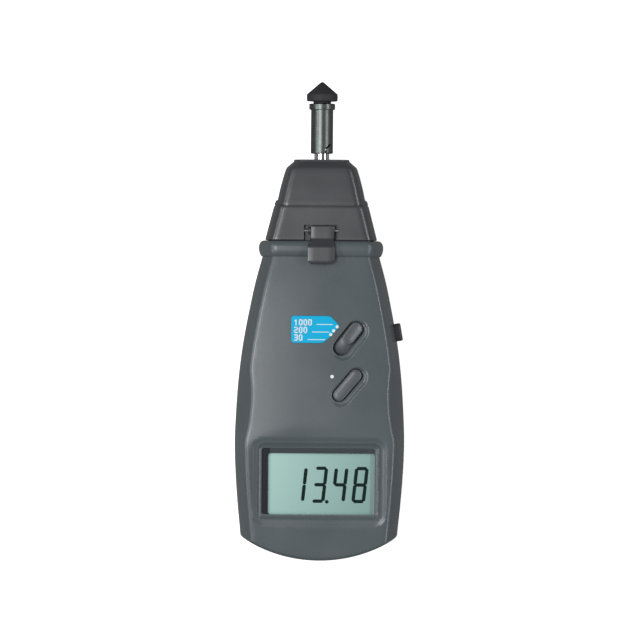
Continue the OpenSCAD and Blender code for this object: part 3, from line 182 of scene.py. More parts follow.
# Points turned by an angle in degrees and moved to a centre
def placed(points, centreX, centreY, turn=0.0):
    c, s = math.cos(math.radians(turn)), math.sin(math.radians(turn))
    x, y = points.T
    return np.stack([centreX + x * c - y * s, centreY + x * s + y * c], -1)


# The inverse of placed, on arrays of x and y
def unplaced(x, y, centreX, centreY, turn=0.0):
    c, s = math.cos(math.radians(turn)), math.sin(math.radians(turn))
    return (x - centreX) * c + (y - centreY) * s, -(x - centreX) * s + (y - centreY) * c


# Triangles over loops of points and loose filler points, without those whose middle 'inside' refuses
def triangulate(loops, filler, inside):
    starts = np.cumsum([0] + [len(loop) for loop in loops])
    edges = [(int(a), int(b)) for first, loop in zip(starts, loops)
             for a, b in zip(first + np.arange(len(loop)), first + (np.arange(len(loop)) + 1) % len(loop))]
    points = np.vstack(loops + [filler])
    flat, _, faces, *_ = delaunay_2d_cdt([Vector(p) for p in points.tolist()], edges, [], 0, 1e-5, False)
    flat = np.array([tuple(p) for p in flat])
    faces = np.array([f for f in faces if len(f) == 3])
    middle = flat[faces].mean(1)
    return flat, faces[inside(middle[:, 0], middle[:, 1])]


# Several patches as one list of points and faces
def joined(*patches):
    points, faces, base = [], [], 0
    for place, quads in patches:
        points.append(np.asarray(place))
        faces += [[index + base for index in face] for face in quads]
        base += len(place)
    return np.vstack(points), faces


# A mesh object from points in millimetres: doubles merged, faces turned outwards, smooth but for sharp edges
def addMesh(name, shape, body, material, replaces=(), sharpAngle=38, upwards=True):
    points, faces = shape
    points = (np.asarray(points) - [0, halfLength, 0]) * toMetres
    mesh = bpy.data.meshes.new(name)
    mesh.from_pydata(points.tolist(), [], faces)
    work = bmesh.new()
    work.from_mesh(mesh)
    bmesh.ops.remove_doubles(work, verts=work.verts, dist=2e-6)
    bmesh.ops.dissolve_degenerate(work, edges=work.edges, dist=1e-7)
    bmesh.ops.recalc_face_normals(work, faces=work.faces)
    work.faces.ensure_lookup_table()
    heights = [face.calc_center_median().z for face in work.faces]
    extreme = work.faces[int(np.argmax(heights) if upwards else np.argmin(heights))]
    if (extreme.normal.z < 0) == upwards:
        bmesh.ops.reverse_faces(work, faces=work.faces)
    work.to_mesh(mesh)
    work.free()
    mesh.shade_smooth()
    mesh.set_sharp_from_angle(angle=math.radians(sharpAngle))
    mesh.materials.append(materials[material])
    piece = bpy.data.objects.new(name, mesh)
    bpy.context.scene.collection.objects.link(piece)
    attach(piece, body)
    if replaces:
        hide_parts(*replaces)


# sRGB numbers 0 to 255 as a linear colour
def srgb(red, green, blue):
    values = np.array([red, green, blue]) / 255
    linear = np.where(values <= 0.04045, values / 12.92, ((values + 0.055) / 1.055)**2.4)
    return (*linear.tolist(), 1.0)


# A shader socket that takes part in Python sums: each operator adds one Math node
class Wire:
    def __init__(self, finish, socket):
        self.finish, self.socket = finish, socket

    def math(self, operation, *others):
        return self.finish.node("ShaderNodeMath", {"operation": operation}, self, *others)

    def __add__(self, other):
        return self.math("ADD", other)

    def __sub__(self, other):
        return self.math("SUBTRACT", other)

    def __mul__(self, other):
        return self.math("MULTIPLY", other)

    def __rsub__(self, other):
        return self.finish.node("ShaderNodeMath", {"operation": "SUBTRACT"}, other, self)

    __radd__, __rmul__ = __add__, __mul__


# A node tree to which one method adds every node
class Tree:
    def __init__(self, tree):
        self.tree = tree

    # A node of a type: settings first, then the values or links of its input sockets in order or by name
    def node(self, kind, settings=None, *inputs, output=0, named=None):
        made = self.tree.nodes.new(kind)
        for key, value in (settings or {}).items():
            setattr(made, key, value)
        for label, value in list(enumerate(inputs)) + list((named or {}).items()):
            if isinstance(value, Wire):
                self.tree.links.new(value.socket, made.inputs[label])
            else:
                made.inputs[label].default_value = value
        return Wire(self, made.outputs[output])


# One material: a Principled shader and the nodes that feed it
class Finish(Tree):
    def __init__(self, name, **plain):
        self.material = bpy.data.materials.new(name)
        self.material.use_nodes = True
        super().__init__(self.material.node_tree)
        self.shader = self.tree.nodes["Principled BSDF"]
        self.place = self.node("ShaderNodeTexCoord", output="Object")
        for label, value in plain.items():
            self.shader.inputs[label.replace("_", " ")].default_value = value

    # Noise of the object's coordinates: size is the length of one wave in millimetres
    def noise(self, size, detail=2.0, rough=0.5, stretch=None):
        at = self.place
        if stretch:
            at = self.node("ShaderNodeVectorMath", {"operation": "MULTIPLY"}, at, stretch)
        return self.node("ShaderNodeTexNoise", named={"Vector": at, "Scale": 1000.0 / size, "Detail": detail,
                                                      "Roughness": rough})

    # Colour between two colours by a factor
    def mix(self, factor, first, second):
        return self.node("ShaderNodeMix", {"data_type": "RGBA"}, output=2,
                         named={"Factor": factor, 6: first, 7: second})

    # The same number held between two ends and spread over 0 to 1
    def spread(self, wire, low, high, first=0.0, last=1.0):
        return self.node("ShaderNodeMapRange", {"clamp": True}, wire, low, high, first, last)

    # The object's x, y and z in millimetres
    def axes(self):
        made = self.node("ShaderNodeSeparateXYZ", {}, self.place)
        outputs = made.socket.node.outputs
        return [Wire(self, outputs[index]) * 1000.0 for index in range(3)]

    # Normal from a height, whose full step is a distance in millimetres
    def bump(self, height, distance):
        return self.node("ShaderNodeBump", named={"Height": height, "Distance": distance * toMetres})

    # Wires into the Principled shader's inputs by name
    def feed(self, **wires):
        for label, wire in wires.items():
            self.tree.links.new(wire.socket, self.shader.inputs[label.replace("_", " ")])
        return self.material


# Moulded plastic: a fine spark-eroded grain, faint flow clouds in the colour, and rubbed, smoother patches
def mouldedPlastic(name, colour, roughness=0.42, grain=0.5, depth=0.02, cloud=0.06, gloss=0.5):
    finish = Finish(name, Specular_IOR_Level=gloss)
    clouds = finish.noise(34.0, 3.0)
    specks = finish.noise(1.1, 2.0)
    tone = finish.spread(clouds + specks * 0.35, 0.5, 0.85)
    dark = tuple(c * (1 - cloud) for c in colour[:3]) + (1.0,)
    light = tuple(min(1.0, c * (1 + cloud)) for c in colour[:3]) + (1.0,)
    pits = finish.noise(grain, 3.0, 0.6)
    rubbed = finish.spread(finish.noise(22.0, 2.0), 0.35, 0.7, roughness - 0.04, roughness + 0.05)
    return finish.feed(Base_Color=finish.mix(tone, dark, light), Roughness=rubbed + pits * 0.05,
                       Normal=finish.bump(pits, depth))


# Turned or rolled metal: fine lines round the y axis, and a little tarnish
def turnedMetal(name, colour, roughness=0.16, lines=0.25, tarnish=0.1):
    finish = Finish(name, Metallic=1.0)
    marks = finish.noise(1.0, 2.0, stretch=(0.12, 1.0 / lines, 0.12))
    stain = finish.spread(finish.noise(6.0, 3.0), 0.4, 0.75)
    dark = tuple(c * (1 - tarnish) for c in colour[:3]) + (1.0,)
    return finish.feed(Base_Color=finish.mix(stain, colour, dark), Normal=finish.bump(marks, 0.004),
                       Roughness=marks * 0.12 + (roughness - 0.06))


materials = {}


# Plastics and metals from their colour, their roughness and what sets them apart
def makeMaterials():
    plastics = {"case": ((83, 91, 95), 0.28, {"gloss": 0.6}), "head": ((58, 60, 64), 0.31, {"gloss": 0.95}),
                "knob": ((88, 93, 97), 0.3, {"depth": 0.012}), "button": ((52, 52, 55), 0.38, {}),
                "whitePlastic": ((214, 211, 202), 0.5, {"cloud": 0.03}),
                "blackPlastic": ((38, 38, 41), 0.45, {}),
                "rubber": ((50, 49, 53), 0.62, {"grain": 0.35, "depth": 0.03, "gloss": 0.35})}
    for name, (colour, roughness, more) in plastics.items():
        materials[name] = mouldedPlastic(name, srgb(*colour), roughness, **more)
    metals = {"steel": ((222, 224, 226), 0.14), "pinSteel": ((232, 230, 220), 0.2),
              "darkSteel": ((106, 112, 110), 0.38), "brass": ((190, 160, 92), 0.28)}
    for name, (colour, roughness) in metals.items():
        materials[name] = turnedMetal(name, srgb(*colour), roughness)


makeMaterials()
print("materials: case, head, rubber and metals made")


caseShape = {
    "length": 136.3, "width": 76.2, "depth": 38.0, "split": 18.0,
    "endArc": 63.4, "endRound": 1.6, "bendShare": 0.18,
    "inset": 3.3, "edgeRound": 2.9, "collarRound": 5.0, "crown": 450.0, "edgeTurn": 67.5,
    "backRound": 5.0, "sideDraft": 0.6, "noseLift": 5.4, "flatShare": 0.82,
    "scallopAt": 74.3, "scallopLength": 33.2, "scallopDepth": 1.8,
    "collarLength": 7.25, "collarHeight": 2.0, "collarDraw": 0.6,
    "noseWidth": 40.6, "noseDepth": 20.0, "noseLength": 7.7, "noseDraft": 0.8,
    "facetTop": 60.8, "facetTilt": 8.0, "windowDrop": 25.9, "crestBlend": 0.1, "scallopBlend": 0.08,
    "groove": 0.14, "lip": 0.4,
    "sides": [[0, 0.906], [0.0755, 0.924], [0.176, 0.958], [0.282, 0.987], [0.387, 1], [0.492, 0.987],
              [0.598, 0.961], [0.704, 0.916], [0.809, 0.85], [0.914, 0.772], [1, 0.69]],
    "crowns": [[0, 0.96], [0.24, 0.989], [0.445, 1], [0.65, 0.989], [0.8, 0.965], [0.91, 0.932], [1, 0.89]],
}
bendLength = caseShape["bendShare"] * caseShape["length"]
tiltCos = math.cos(math.radians(caseShape["facetTilt"]))
tiltTan = math.tan(math.radians(caseShape["facetTilt"]))


# Half width of the case along its length, from the table of sides
def halfWidth(y):
    return caseShape["width"] / 2 * smoothTable(caseShape["sides"], np.clip(y / caseShape["length"], 0, 1))


# Height of the crown's ridge along the case, from the table of crowns
def crownHeight(y):
    return caseShape["depth"] * smoothTable(caseShape["crowns"], np.clip(y / caseShape["length"], 0, 1))


# Height of the crowned front: the crown's ridge less x^2 / 2R
def crownAt(x, y):
    return crownHeight(y) - x * x / (2 * caseShape["crown"])


# Height of the back: flat, then lifted towards the nose by a smooth step
def backHeight(y):
    flat = caseShape["flatShare"]
    return caseShape["noseLift"] * ease((y / caseShape["length"] - flat) / (1 - flat))


# How far the bottom edge's arc lies above its lowest point: R - sqrt(R^2 - x^2)
def endArc(x):
    return caseShape["endArc"] - np.sqrt(caseShape["endArc"]**2 - x * x)


# Share of that arc that a row still follows
def bend(row):
    return np.maximum(0, 1 - row / bendLength)


# How far the bottom edge's quarter round draws the surface in at a row: r - sqrt(r^2 - (r - row)^2)
def endInset(row):
    r = caseShape["endRound"]
    return np.where(row < r, r - np.sqrt(np.maximum(0, r * r - (r - np.minimum(row, r))**2)), 0)


facetHeight = float(crownHeight(caseShape["facetTop"]))
cornerWidth = caseShape["width"] / 2 * caseShape["sides"][0][1]
headAxis = float(crownHeight(caseShape["length"]) + backHeight(caseShape["length"])) / 2


# Row of a place on the face: y = row + bend(row) arc(x), solved for row
def rowOf(x, y):
    arc = endArc(x)
    return np.where(y < bendLength, (y - arc) / (1 - arc / bendLength), y)


# Half width of the shell at a row, drawn in where the bottom edge is rounded
def rowWidth(row):
    return halfWidth(row + bend(row) * endArc(cornerWidth)) - endInset(row)


# Half width of the face up to where its edge starts to round, pulled in by the finger scallops
def faceHalf(row):
    plain = rowWidth(row) - caseShape["inset"] - caseShape["edgeRound"]
    radius = caseShape["scallopLength"]**2 / (8 * caseShape["scallopDepth"])
    middle = float(halfWidth(caseShape["scallopAt"])) - caseShape["inset"] - caseShape["edgeRound"]
    cut = middle - caseShape["scallopDepth"] + (row - caseShape["scallopAt"])**2 / (2 * radius)
    return softMin(plain, cut, caseShape["scallopBlend"])


# Height of the face: the crowned front or the tilted display facet, whichever is lower
def faceHeight(x, row):
    plane = facetHeight + (row + bend(row) * endArc(x) - caseShape["facetTop"]) * tiltTan
    return softMin(crownAt(x, row), plane, caseShape["crestBlend"]) - endInset(row)


# Columns of a front line, from the face's edge outwards: the turn round the edge, then the way down the side
cornerTurns = np.linspace(0, caseShape["edgeTurn"], 7)
sideShares = np.linspace(0, 1, 15)[1:]


# Edge and side of the front shell at some rows: x = xe + (w - xe) sin 90t, z falls evenly to the parting line
def frontEdge(face, width, top, y, edgeRound):
    turn = np.radians(np.concatenate([cornerTurns, np.full(len(sideShares), cornerTurns[-1])]))[None]
    share = np.concatenate([np.zeros(len(cornerTurns)), sideShares])[None]
    edgeX = face[:, None] + edgeRound * np.sin(turn)
    x = edgeX + (width[:, None] - edgeX) * np.sin(math.pi / 2 * share)
    z = (top[:, None] - edgeRound * (1 - np.cos(turn))) * (1 - share)
    z = z + (caseShape["split"] + caseShape["groove"]) * share
    row = np.repeat(y[:, None], x.shape[1], 1)
    points = np.stack([x, row + bend(row) * endArc(x), z], -1)
    last = points[:, -1:].copy()
    last[..., 0] -= caseShape["lip"]
    last[..., 2] = caseShape["split"]
    return np.concatenate([points, last], 1)


# Points on the other side of the middle: x turned to -x
def mirrored(points):
    return points * [-1, 1, 1]


# Line across a shell at one row: left side, face, right side
def across(faceX, height, side):
    middle = np.stack([faceX, np.full(len(faceX), side[0, 1]), height], -1)
    return np.vstack([mirrored(side[:0:-1]), middle, side[1:]])


# Wall that falls straight from a line to a level, with its two end columns closed
def endWall(line, level, count):
    levels = np.linspace(0, 1, count)[:, None]
    rows = np.repeat(line[None], count, 0)
    rows[..., 2] = line[:, 2] * (1 - levels) + level * levels
    rows[:, [0, -1]] = line[[0, -1]]
    return patch(rows)


# Rows of the collar, a half-round bead whose base is drawn in, and of the nose in front of it
collarTurns = np.radians(np.arange(0, 181, 12))
collarShares = (1 - np.cos(collarTurns)) / 2
collarRows = caseShape["length"] + collarShares * caseShape["collarLength"]
collarGrow = (caseShape["collarHeight"] * np.sin(collarTurns) * (0.75 + 0.5 * collarShares)
              - caseShape["collarDraw"] * collarShares)
noseStart = caseShape["length"] + caseShape["collarLength"]
noseEnd = noseStart + caseShape["noseLength"]
noseRows = np.array([noseStart, noseStart + 0.3, noseEnd - 0.5, noseEnd])  # the last two make its bevel
noseGrow = -caseShape["noseDraft"] * (noseRows - noseStart) / caseShape["noseLength"] - [0, 0, 0, 0.4]

recess = {
    "outer": (59.0, 38.4, 4.5), "outerAt": 0.2, "outerDepth": 0.55, "outerSoft": 0.75,
    "inner": (55.0, 34.2, 2.6), "innerAt": 0.5, "innerDepth": 0.35, "innerSoft": 0.2,
    "slope": 1.3, "slopeDepth": 0.9,
    "opening": (50.8, 30.2, 1.3), "openingAt": (-0.4, 0.5), "openingDepth": 2.32,
    "pane": (47.9, 27.8), "paneAt": (0.95, -0.72), "rimDepths": (2.2, 2.5, 3.2),
}
modeSlot = {"at": (12.6, 99.8), "turn": 52, "radius": 3.8, "pitch": 10.1, "depth": 2.3,
            "dishShift": (0.8, -0.75), "dishGrow": 1.6, "dishDepth": 0.8}
memorySlot = {"at": (12.3, 78.9), "turn": 50, "radius": 3.3, "pitch": 11.4, "depth": 2.3,
              "dishShift": (0.8, -0.75), "dishGrow": 1.6, "dishDepth": 0.8}
slots = (modeSlot, memorySlot)
labelPlate = {"at": (-2.2, 103.75), "width": 21.7, "height": 12.1, "radius": 1.4, "nib": 4.3, "sink": 0.16,
              "thick": 0.16}


# Place on the display facet (x, up the facet from the window's middle) as (x, y) seen from the front
def facetToFront(points):
    x, up = points.T
    return np.stack([x, caseShape["facetTop"] + (up - caseShape["windowDrop"]) * tiltCos], -1)


# The inverse of facetToFront, on arrays of x and y
def frontToFacet(x, y):
    return x, (y - caseShape["facetTop"]) / tiltCos + caseShape["windowDrop"]


# Corners of the label: two round corners on the left, a blunt arrow on the right
def labelOutline(grow=0.0):
    w, h = labelPlate["width"] / 2 + grow, labelPlate["height"] / 2 + grow
    nib = labelPlate["nib"]
    arrow = [[w - 1.75 * nib, -h], [w - nib, -h + 0.62 * nib], [w, nib / 2.6], [w - nib, h]]
    corners = [[-w, h], [-w, -h]] + arrow
    return placed(roundPolygon(corners, labelPlate["radius"], 5), *labelPlate["at"])


# How far the features sink the face: two soft steps and a slope round the window, dishes, and the label's bed
def featureDepth(x, y):
    u, v = frontToFacet(x, y)
    outer = boxDistance(u, v - recess["outerAt"], *recess["outer"])
    inner = boxDistance(u, v - recess["innerAt"], *recess["inner"])
    sunk = recess["outerDepth"] * ease((recess["outerSoft"] - outer) / (2 * recess["outerSoft"]))
    sunk = sunk + recess["innerDepth"] * ease((recess["innerSoft"] - inner) / (2 * recess["innerSoft"]))
    sunk = sunk + recess["slopeDepth"] * np.clip(-(inner + recess["innerSoft"]) / recess["slope"], 0, 1)
    for slot in slots:
        away = slotDistance(slot, x, y, slot["dishShift"])
        sunk = sunk + slot["dishDepth"] * ease(1 - away / slot["dishGrow"])
    label = polygonDistance(x, y, labelOutline(0.12))
    return sunk + labelPlate["sink"] * ease((0.05 - label) / 0.1)


# Outline of a slot, grown and shifted
def slotLoop(slot, grow=0.0, shift=(0.0, 0.0)):
    centre = (slot["at"][0] + shift[0], slot["at"][1] + shift[1])
    return placed(pillLoop(slot["radius"] + grow, slot["pitch"]), *centre, slot["turn"])


# Signed distance to a slot, shifted as its dish is
def slotDistance(slot, x, y, shift=(0.0, 0.0)):
    a, b = unplaced(x - shift[0], y - shift[1], *slot["at"], slot["turn"])
    return pillDistance(a, b, slot["radius"], slot["pitch"])


# Signed distance to the window's opening, measured on the facet
def openingDistance(x, y):
    u, v = frontToFacet(x, y)
    return boxDistance(u - recess["openingAt"][0], v - recess["openingAt"][1], *recess["opening"])


# Distance to the nearest hole of the face, below zero inside it
def holeDistance(x, y):
    return np.minimum.reduce([openingDistance(x, y)] + [slotDistance(slot, x, y) for slot in slots])


# Points of the face seen from the front as (x, row)
def toRows(points):
    return np.stack([points[:, 0], rowOf(points[:, 0], points[:, 1])], -1)


# Wall that goes straight down from a hole's edge
def holeWall(loop, depth):
    x, y = np.vstack([loop, loop[:1]]).T
    face = faceHeight(x, rowOf(x, y))
    levels = np.linspace(0, 1, 4)[:, None]
    z = (face - featureDepth(x, y)) * (1 - levels) + (face - depth) * levels
    return patch(np.stack([np.repeat(x[None], 4, 0), np.repeat(y[None], 4, 0), z], -1))


# Rows of a shell, close together where the bottom edge is rounded, and how far the face's loose points keep
# from its other edges
endRows = caseShape["endRound"] * np.array([0.04, 0.12, 0.25, 0.42, 0.62, 0.82, 1.0])
shellRows = np.unique(np.concatenate([np.linspace(0, caseShape["length"], 112), endRows]))
faceMesh = {"across": 47, "step": 1.35, "fromSlot": 0.9, "fromDish": 0.6, "fromEdge": 0.75,
            "fromSide": 0.6, "fromEnd": 0.5, "ringFromSlot": 0.3,
            "dishRings": (-0.3, -0.1, 0.0, 0.15, 0.3, 0.45, 0.6, 0.75, 0.9, 1.0, 1.15)}


# Points of an even grid from -half to half across, and between two rows
def evenGrid(half, low, high, step):
    grids = np.meshgrid(np.arange(-half, half + 0.1, step), np.arange(low, high, step))
    return [grid.ravel() for grid in grids]


# Loops that the face's triangles follow round the window and the label, after the edges of its three holes
def faceRings():
    rings = [facetToFront(boxLoop(*recess["opening"]) + recess["openingAt"])]
    rings += [slotLoop(slot) for slot in slots]
    for key in ("outer", "inner"):
        w, h, r = recess[key]
        for g in np.array([-1, 0, 1]) * recess[key + "Soft"]:
            rings.append(facetToFront(boxLoop(w + 2 * g, h + 2 * g, r + g) + [0, recess[key + "At"]]))
    g = recess["innerSoft"] + recess["slope"]
    rings.append(facetToFront(boxLoop(w - 2 * g, h - 2 * g, max(0.3, r - g)) + [0, recess["innerAt"]]))
    return rings + [labelOutline(0.07), labelOutline(0.17)]


# Loose points of the face: an even grid away from the edges, rings in the dishes, rows of the bottom round
def faceFiller(shares):
    x, y = evenGrid(37, 0.7, caseShape["length"] - 0.5, faceMesh["step"])
    u, v = frontToFacet(x, y)
    outer = boxDistance(u, v - recess["outerAt"], *recess["outer"])
    inner = boxDistance(u, v - recess["innerAt"], *recess["inner"])
    edges = np.abs([outer, inner, openingDistance(x, y), polygonDistance(x, y, labelOutline())])
    fromSlot = np.min([slotDistance(slot, x, y) for slot in slots], 0)
    reach = faceMesh["dishRings"][-1]
    fromDish = np.min([slotDistance(slot, x, y, slot["dishShift"]) - reach * slot["dishGrow"]
                       for slot in slots], 0)
    row = rowOf(x, y)
    use = (fromSlot > faceMesh["fromSlot"]) & (fromDish > faceMesh["fromDish"])
    use &= (np.min(edges, 0) > faceMesh["fromEdge"]) & (row > caseShape["endRound"] + faceMesh["fromEnd"])
    use &= np.abs(x) < faceHalf(row) - faceMesh["fromSide"]
    dishes = np.vstack([slotLoop(slot, g * slot["dishGrow"], slot["dishShift"]) for slot in slots
                        for g in faceMesh["dishRings"]])
    dishes = dishes[np.min([slotDistance(slot, *dishes.T) for slot in slots], 0) > faceMesh["ringFromSlot"]]
    endX, endRow = np.meshgrid(shares[1:-1], endRows)
    ends = np.stack([endX * faceHalf(endRow), endRow], -1).reshape(-1, 2)
    return np.vstack([np.stack([x[use], row[use]], -1), ends, toRows(dishes)])


# Whether a place of the face is solid, at (x, row)
def faceSolid(x, row):
    return (np.abs(x) < faceHalf(row)) & (holeDistance(x, row + bend(row) * endArc(x)) >= 0)


# Front shell: a triangulated face with its holes left open, and grids for sides, bottom wall, collar and nose
def frontShell():
    half = faceHalf(shellRows)
    shares = np.linspace(-1, 1, faceMesh["across"])
    bottom = np.stack([shares * half[0], np.zeros(len(shares))], -1)
    top = np.stack([shares[::-1] * half[-1], np.full(len(shares), shellRows[-1])], -1)
    right = np.stack([half[1:-1], shellRows[1:-1]], -1)
    border = np.vstack([bottom, right, top, (right * [-1, 1])[::-1]])
    rings = faceRings()
    flat, triangles = triangulate([border] + [toRows(ring) for ring in rings], faceFiller(shares), faceSolid)
    x, row = flat.T
    y = row + bend(row) * endArc(x)
    face = np.stack([x, y, faceHeight(x, row) - featureDepth(x, y)], -1), triangles.tolist()
    r, crown, split = caseShape["edgeRound"], caseShape["crown"], caseShape["split"] + caseShape["groove"]
    edge = frontEdge(half, rowWidth(shellRows), faceHeight(half, shellRows), shellRows, r)

    start = across(bottom[:, 0], faceHeight(bottom[:, 0], 0 * bottom[:, 0]), edge[0])
    start[:, 1] = endArc(start[:, 0])
    wall = endWall(start, split, 9)

    width = float(rowWidth(shellRows[-1:])[0]) + collarGrow
    noseWidth = caseShape["noseWidth"] / 2 + noseGrow
    collarRounds = r + (caseShape["collarRound"] - r) * np.sin(collarTurns)
    rounds = np.concatenate([collarRounds, np.full(len(noseRows), r)])
    inset = caseShape["inset"]
    reaches = np.concatenate([width - inset - collarRounds, noseWidth - inset / 2 - r])
    tops = np.concatenate([float(crownHeight(caseShape["length"])) + collarGrow,
                           headAxis + caseShape["noseDepth"] / 2 + noseGrow])
    side = frontEdge(reaches, np.concatenate([width, noseWidth]), tops - reaches**2 / (2 * crown),
                     np.concatenate([collarRows, noseRows]), rounds[:, None])
    lines = [across(shares * reach, height - (shares * reach)**2 / (2 * crown), points)
             for reach, height, points in zip(reaches, tops, side)]

    depths = (recess["openingDepth"], modeSlot["depth"], memorySlot["depth"])
    parts = [face, patch(edge), patch(mirrored(edge)), wall, patch(np.stack(lines)), noseCap(lines[-1], 1)]
    parts += [holeWall(loop, depth) for loop, depth in zip(rings, depths)]
    addMesh("frontShell", joined(*parts), "housing", "case", ["front_case"])


# Light opening of the nose: half its width at the parting line, then its straight part and round ends
lightMouth = {"half": 14.0, "straight": 9.5, "radius": 4.5, "depth": 2.2}


# End of the nose between its outline and half of the pill-shaped light opening, and the opening's wall
def noseCap(line, sign):
    share = line[:, 0] / line[:, 0].max()
    x = lightMouth["half"] * share
    past = np.maximum(np.abs(x) - lightMouth["straight"], 0)
    z = headAxis + sign * np.sqrt(np.maximum(0, lightMouth["radius"]**2 - past**2))
    z = z + (caseShape["split"] - headAxis) * np.abs(share)**8
    mouth = np.stack([x, np.full(len(x), noseEnd), z], -1)
    return patch(np.stack([line, line * 0.5 + mouth * 0.5, mouth, mouth - [0, lightMouth["depth"], 0]]))


frontShell()
print("case: front shell made")

door = {"length": 76.0, "width": 57.6, "flare": 1.6, "thick": 2.0, "low": 0.2, "gap": 0.4,
        "cornerRadius": 3.0, "edgeRound": 0.5, "endGap": 0.5, "ribs": 7, "ribPitch": 2.4,
        "ribAt": 9.5, "ribWidth": 23.0, "ribDepth": 0.45, "ribEnd": 1.2}
backMesh = {"across": 41, "step": 2.1, "fromEdge": 0.9, "fromSide": 0.8}
doorEnd = door["length"] + door["gap"]
doorHalf = door["width"] / 2 + door["gap"]
bay = {"low": 13.2, "high": 72.1, "half": 31.9, "roof": 17.2, "rim": 2.6, "overlap": 1.2, "corner": 1.5}
screwSpots = [(side * share * caseShape["width"], along * caseShape["length"])
              for share, along in ((0.355, 0.602), (0.2, 0.925)) for side in (-1, 1)]
screwPocket = {"radius": 3.0, "depth": 2.6}


# Edge and side of the rear shell: a quarter round from the back, then a drafted wall up to the parting line
def rearEdge(width, back, y):
    r, draft = caseShape["backRound"], caseShape["sideDraft"]
    turns = np.radians(np.linspace(0, 90, 9))
    flat = (width - r - draft)[:, None]
    arcX, arcZ = flat + r * np.sin(turns), back[:, None] + r * (1 - np.cos(turns))
    up = np.linspace(0, 1, 6)[1:]
    sideX = flat + r + draft * up
    sideZ = (back[:, None] + r) * (1 - up) + (caseShape["split"] - caseShape["groove"]) * up
    lipX, lipZ = sideX[:, -1:] - caseShape["lip"], np.full_like(sideX[:, -1:], caseShape["split"])
    x, z = np.hstack([arcX, sideX, lipX]), np.hstack([arcZ, sideZ, lipZ])
    row = np.repeat(y[:, None], x.shape[1], 1)
    return np.stack([x, row + bend(row) * endArc(x), z], -1)


# Half width of the flat back at a row
def backHalf(row):
    return rowWidth(row) - caseShape["backRound"] - caseShape["sideDraft"]


# Half width of the door's opening at a row, kept inside the flat back
def openHalf(row):
    return np.minimum(doorHalf, backHalf(row) - 0.15)


# Closed outline of the flat back: round the outside, then along the sides and the end of the door's opening
def backBorder(shares):
    flat = np.stack([backHalf(shellRows), shellRows], -1)
    top = np.stack([shares[::-1] * flat[-1, 0], np.full(len(shares), shellRows[-1])], -1)
    r = door["cornerRadius"]
    low = shellRows[shellRows < doorEnd - r]
    inner = np.stack([openHalf(low), low], -1)
    turn = np.linspace(0, math.pi / 2, 7)
    corner = np.stack([doorHalf - r + r * np.cos(turn), doorEnd - r + r * np.sin(turn)], -1)
    middle = np.stack([np.linspace(-1, 1, 21)[1:-1] * (doorHalf - r), np.full(19, doorEnd)], -1)
    return np.vstack([flat[:-1], top, (flat * [-1, 1])[-2::-1], inner * [-1, 1], corner * [-1, 1],
                      middle, corner[::-1], inner[::-1]])


# Distance to the middle of the nearest screw pocket
def screwDistance(x, y):
    return np.min([np.hypot(x - a, y - b) for a, b in screwSpots], 0)


# Loose points of the flat back, away from its edges
def backFiller():
    x, y = evenGrid(34, 1.5, caseShape["length"], backMesh["step"])
    fromDoor = boxDistance(x, y, 2 * doorHalf, 2 * doorEnd, door["cornerRadius"])
    fromScrew = screwDistance(x, y) - screwPocket["radius"]
    use = (np.abs(x) < backHalf(y) - backMesh["fromSide"])
    use &= np.minimum(fromScrew, fromDoor) > backMesh["fromEdge"]
    return np.stack([x[use], y[use]], -1)


# Whether a place of the flat back is solid, at (x, row)
def backSolid(x, row):
    opened = boxDistance(x, row, 2 * openHalf(row), 2 * doorEnd, door["cornerRadius"]) < 0
    return (np.abs(x) < backHalf(row)) & (screwDistance(x, row) >= screwPocket["radius"] * 0.99) & ~opened


# A flat loop of points at a height
def atHeight(loop, height):
    return np.column_stack([loop, np.zeros(len(loop)) + height])


# Rear shell: a flat back with the door's opening and the screw pockets, rounded edges, collar and nose
def rearShell():
    shares = np.linspace(-1, 1, backMesh["across"])
    pockets = [placed(pillLoop(screwPocket["radius"], 0.0, 16, 1), *spot) for spot in screwSpots]
    flat, triangles = triangulate([backBorder(shares)] + pockets, backFiller(), backSolid)
    x, row = flat.T
    back = np.stack([x, row + bend(row) * endArc(x), backHeight(row) + endInset(row)], -1), triangles.tolist()
    edge = rearEdge(rowWidth(shellRows), backHeight(shellRows) + endInset(shellRows), shellRows)

    # End wall below the parting line, with the door's opening left free
    x = np.linspace(0, 1, 16) * openHalf(shellRows[:1])
    half = np.vstack([np.stack([x, 0 * x, np.full(16, bay["rim"])], -1), edge[0]])
    line = np.vstack([mirrored(half[:0:-1]), half])
    line[:, 1] = endArc(line[:, 0])
    wall = endWall(line, caseShape["split"] - caseShape["groove"], 7)

    widths = np.concatenate([rowWidth(shellRows[-1:]) + collarGrow, caseShape["noseWidth"] / 2 + noseGrow])
    lows = np.concatenate([backHeight(caseShape["length"]) - collarGrow,
                           headAxis - caseShape["noseDepth"] / 2 - noseGrow])
    side = rearEdge(widths, lows, np.concatenate([collarRows, noseRows]))
    reaches = widths - caseShape["backRound"] - caseShape["sideDraft"]
    lines = [across(shares * reach, np.full(len(shares), low), points)
             for reach, low, points in zip(reaches, lows, side)]

    # Screw pockets: a short wall and a seat
    wells = []
    for spot, loop in zip(screwSpots, pockets):
        level = float(backHeight(spot[1]))
        seat = level + screwPocket["depth"]
        rims = ((1.0, backHeight(loop[:, 1])), (0.98, level + 0.15), (0.98, seat), (0.3, seat))
        rings = [atHeight(spot + (loop - spot) * grow, z) for grow, z in rims]
        wells.append(patch(np.stack(rings), wrap=True))
    shape = joined(back, patch(edge), patch(mirrored(edge)), wall, patch(np.stack(lines)),
                   noseCap(lines[-1], -1), *wells)
    addMesh("rearShell", shape, "housing", "case", ["rear_case"], upwards=False)


# Loops thinned to the same number of points
def evened(loops):
    count = min(len(loop) for loop in loops)
    return [loop[np.linspace(0, len(loop) - 1, count).astype(int)] for loop in loops]


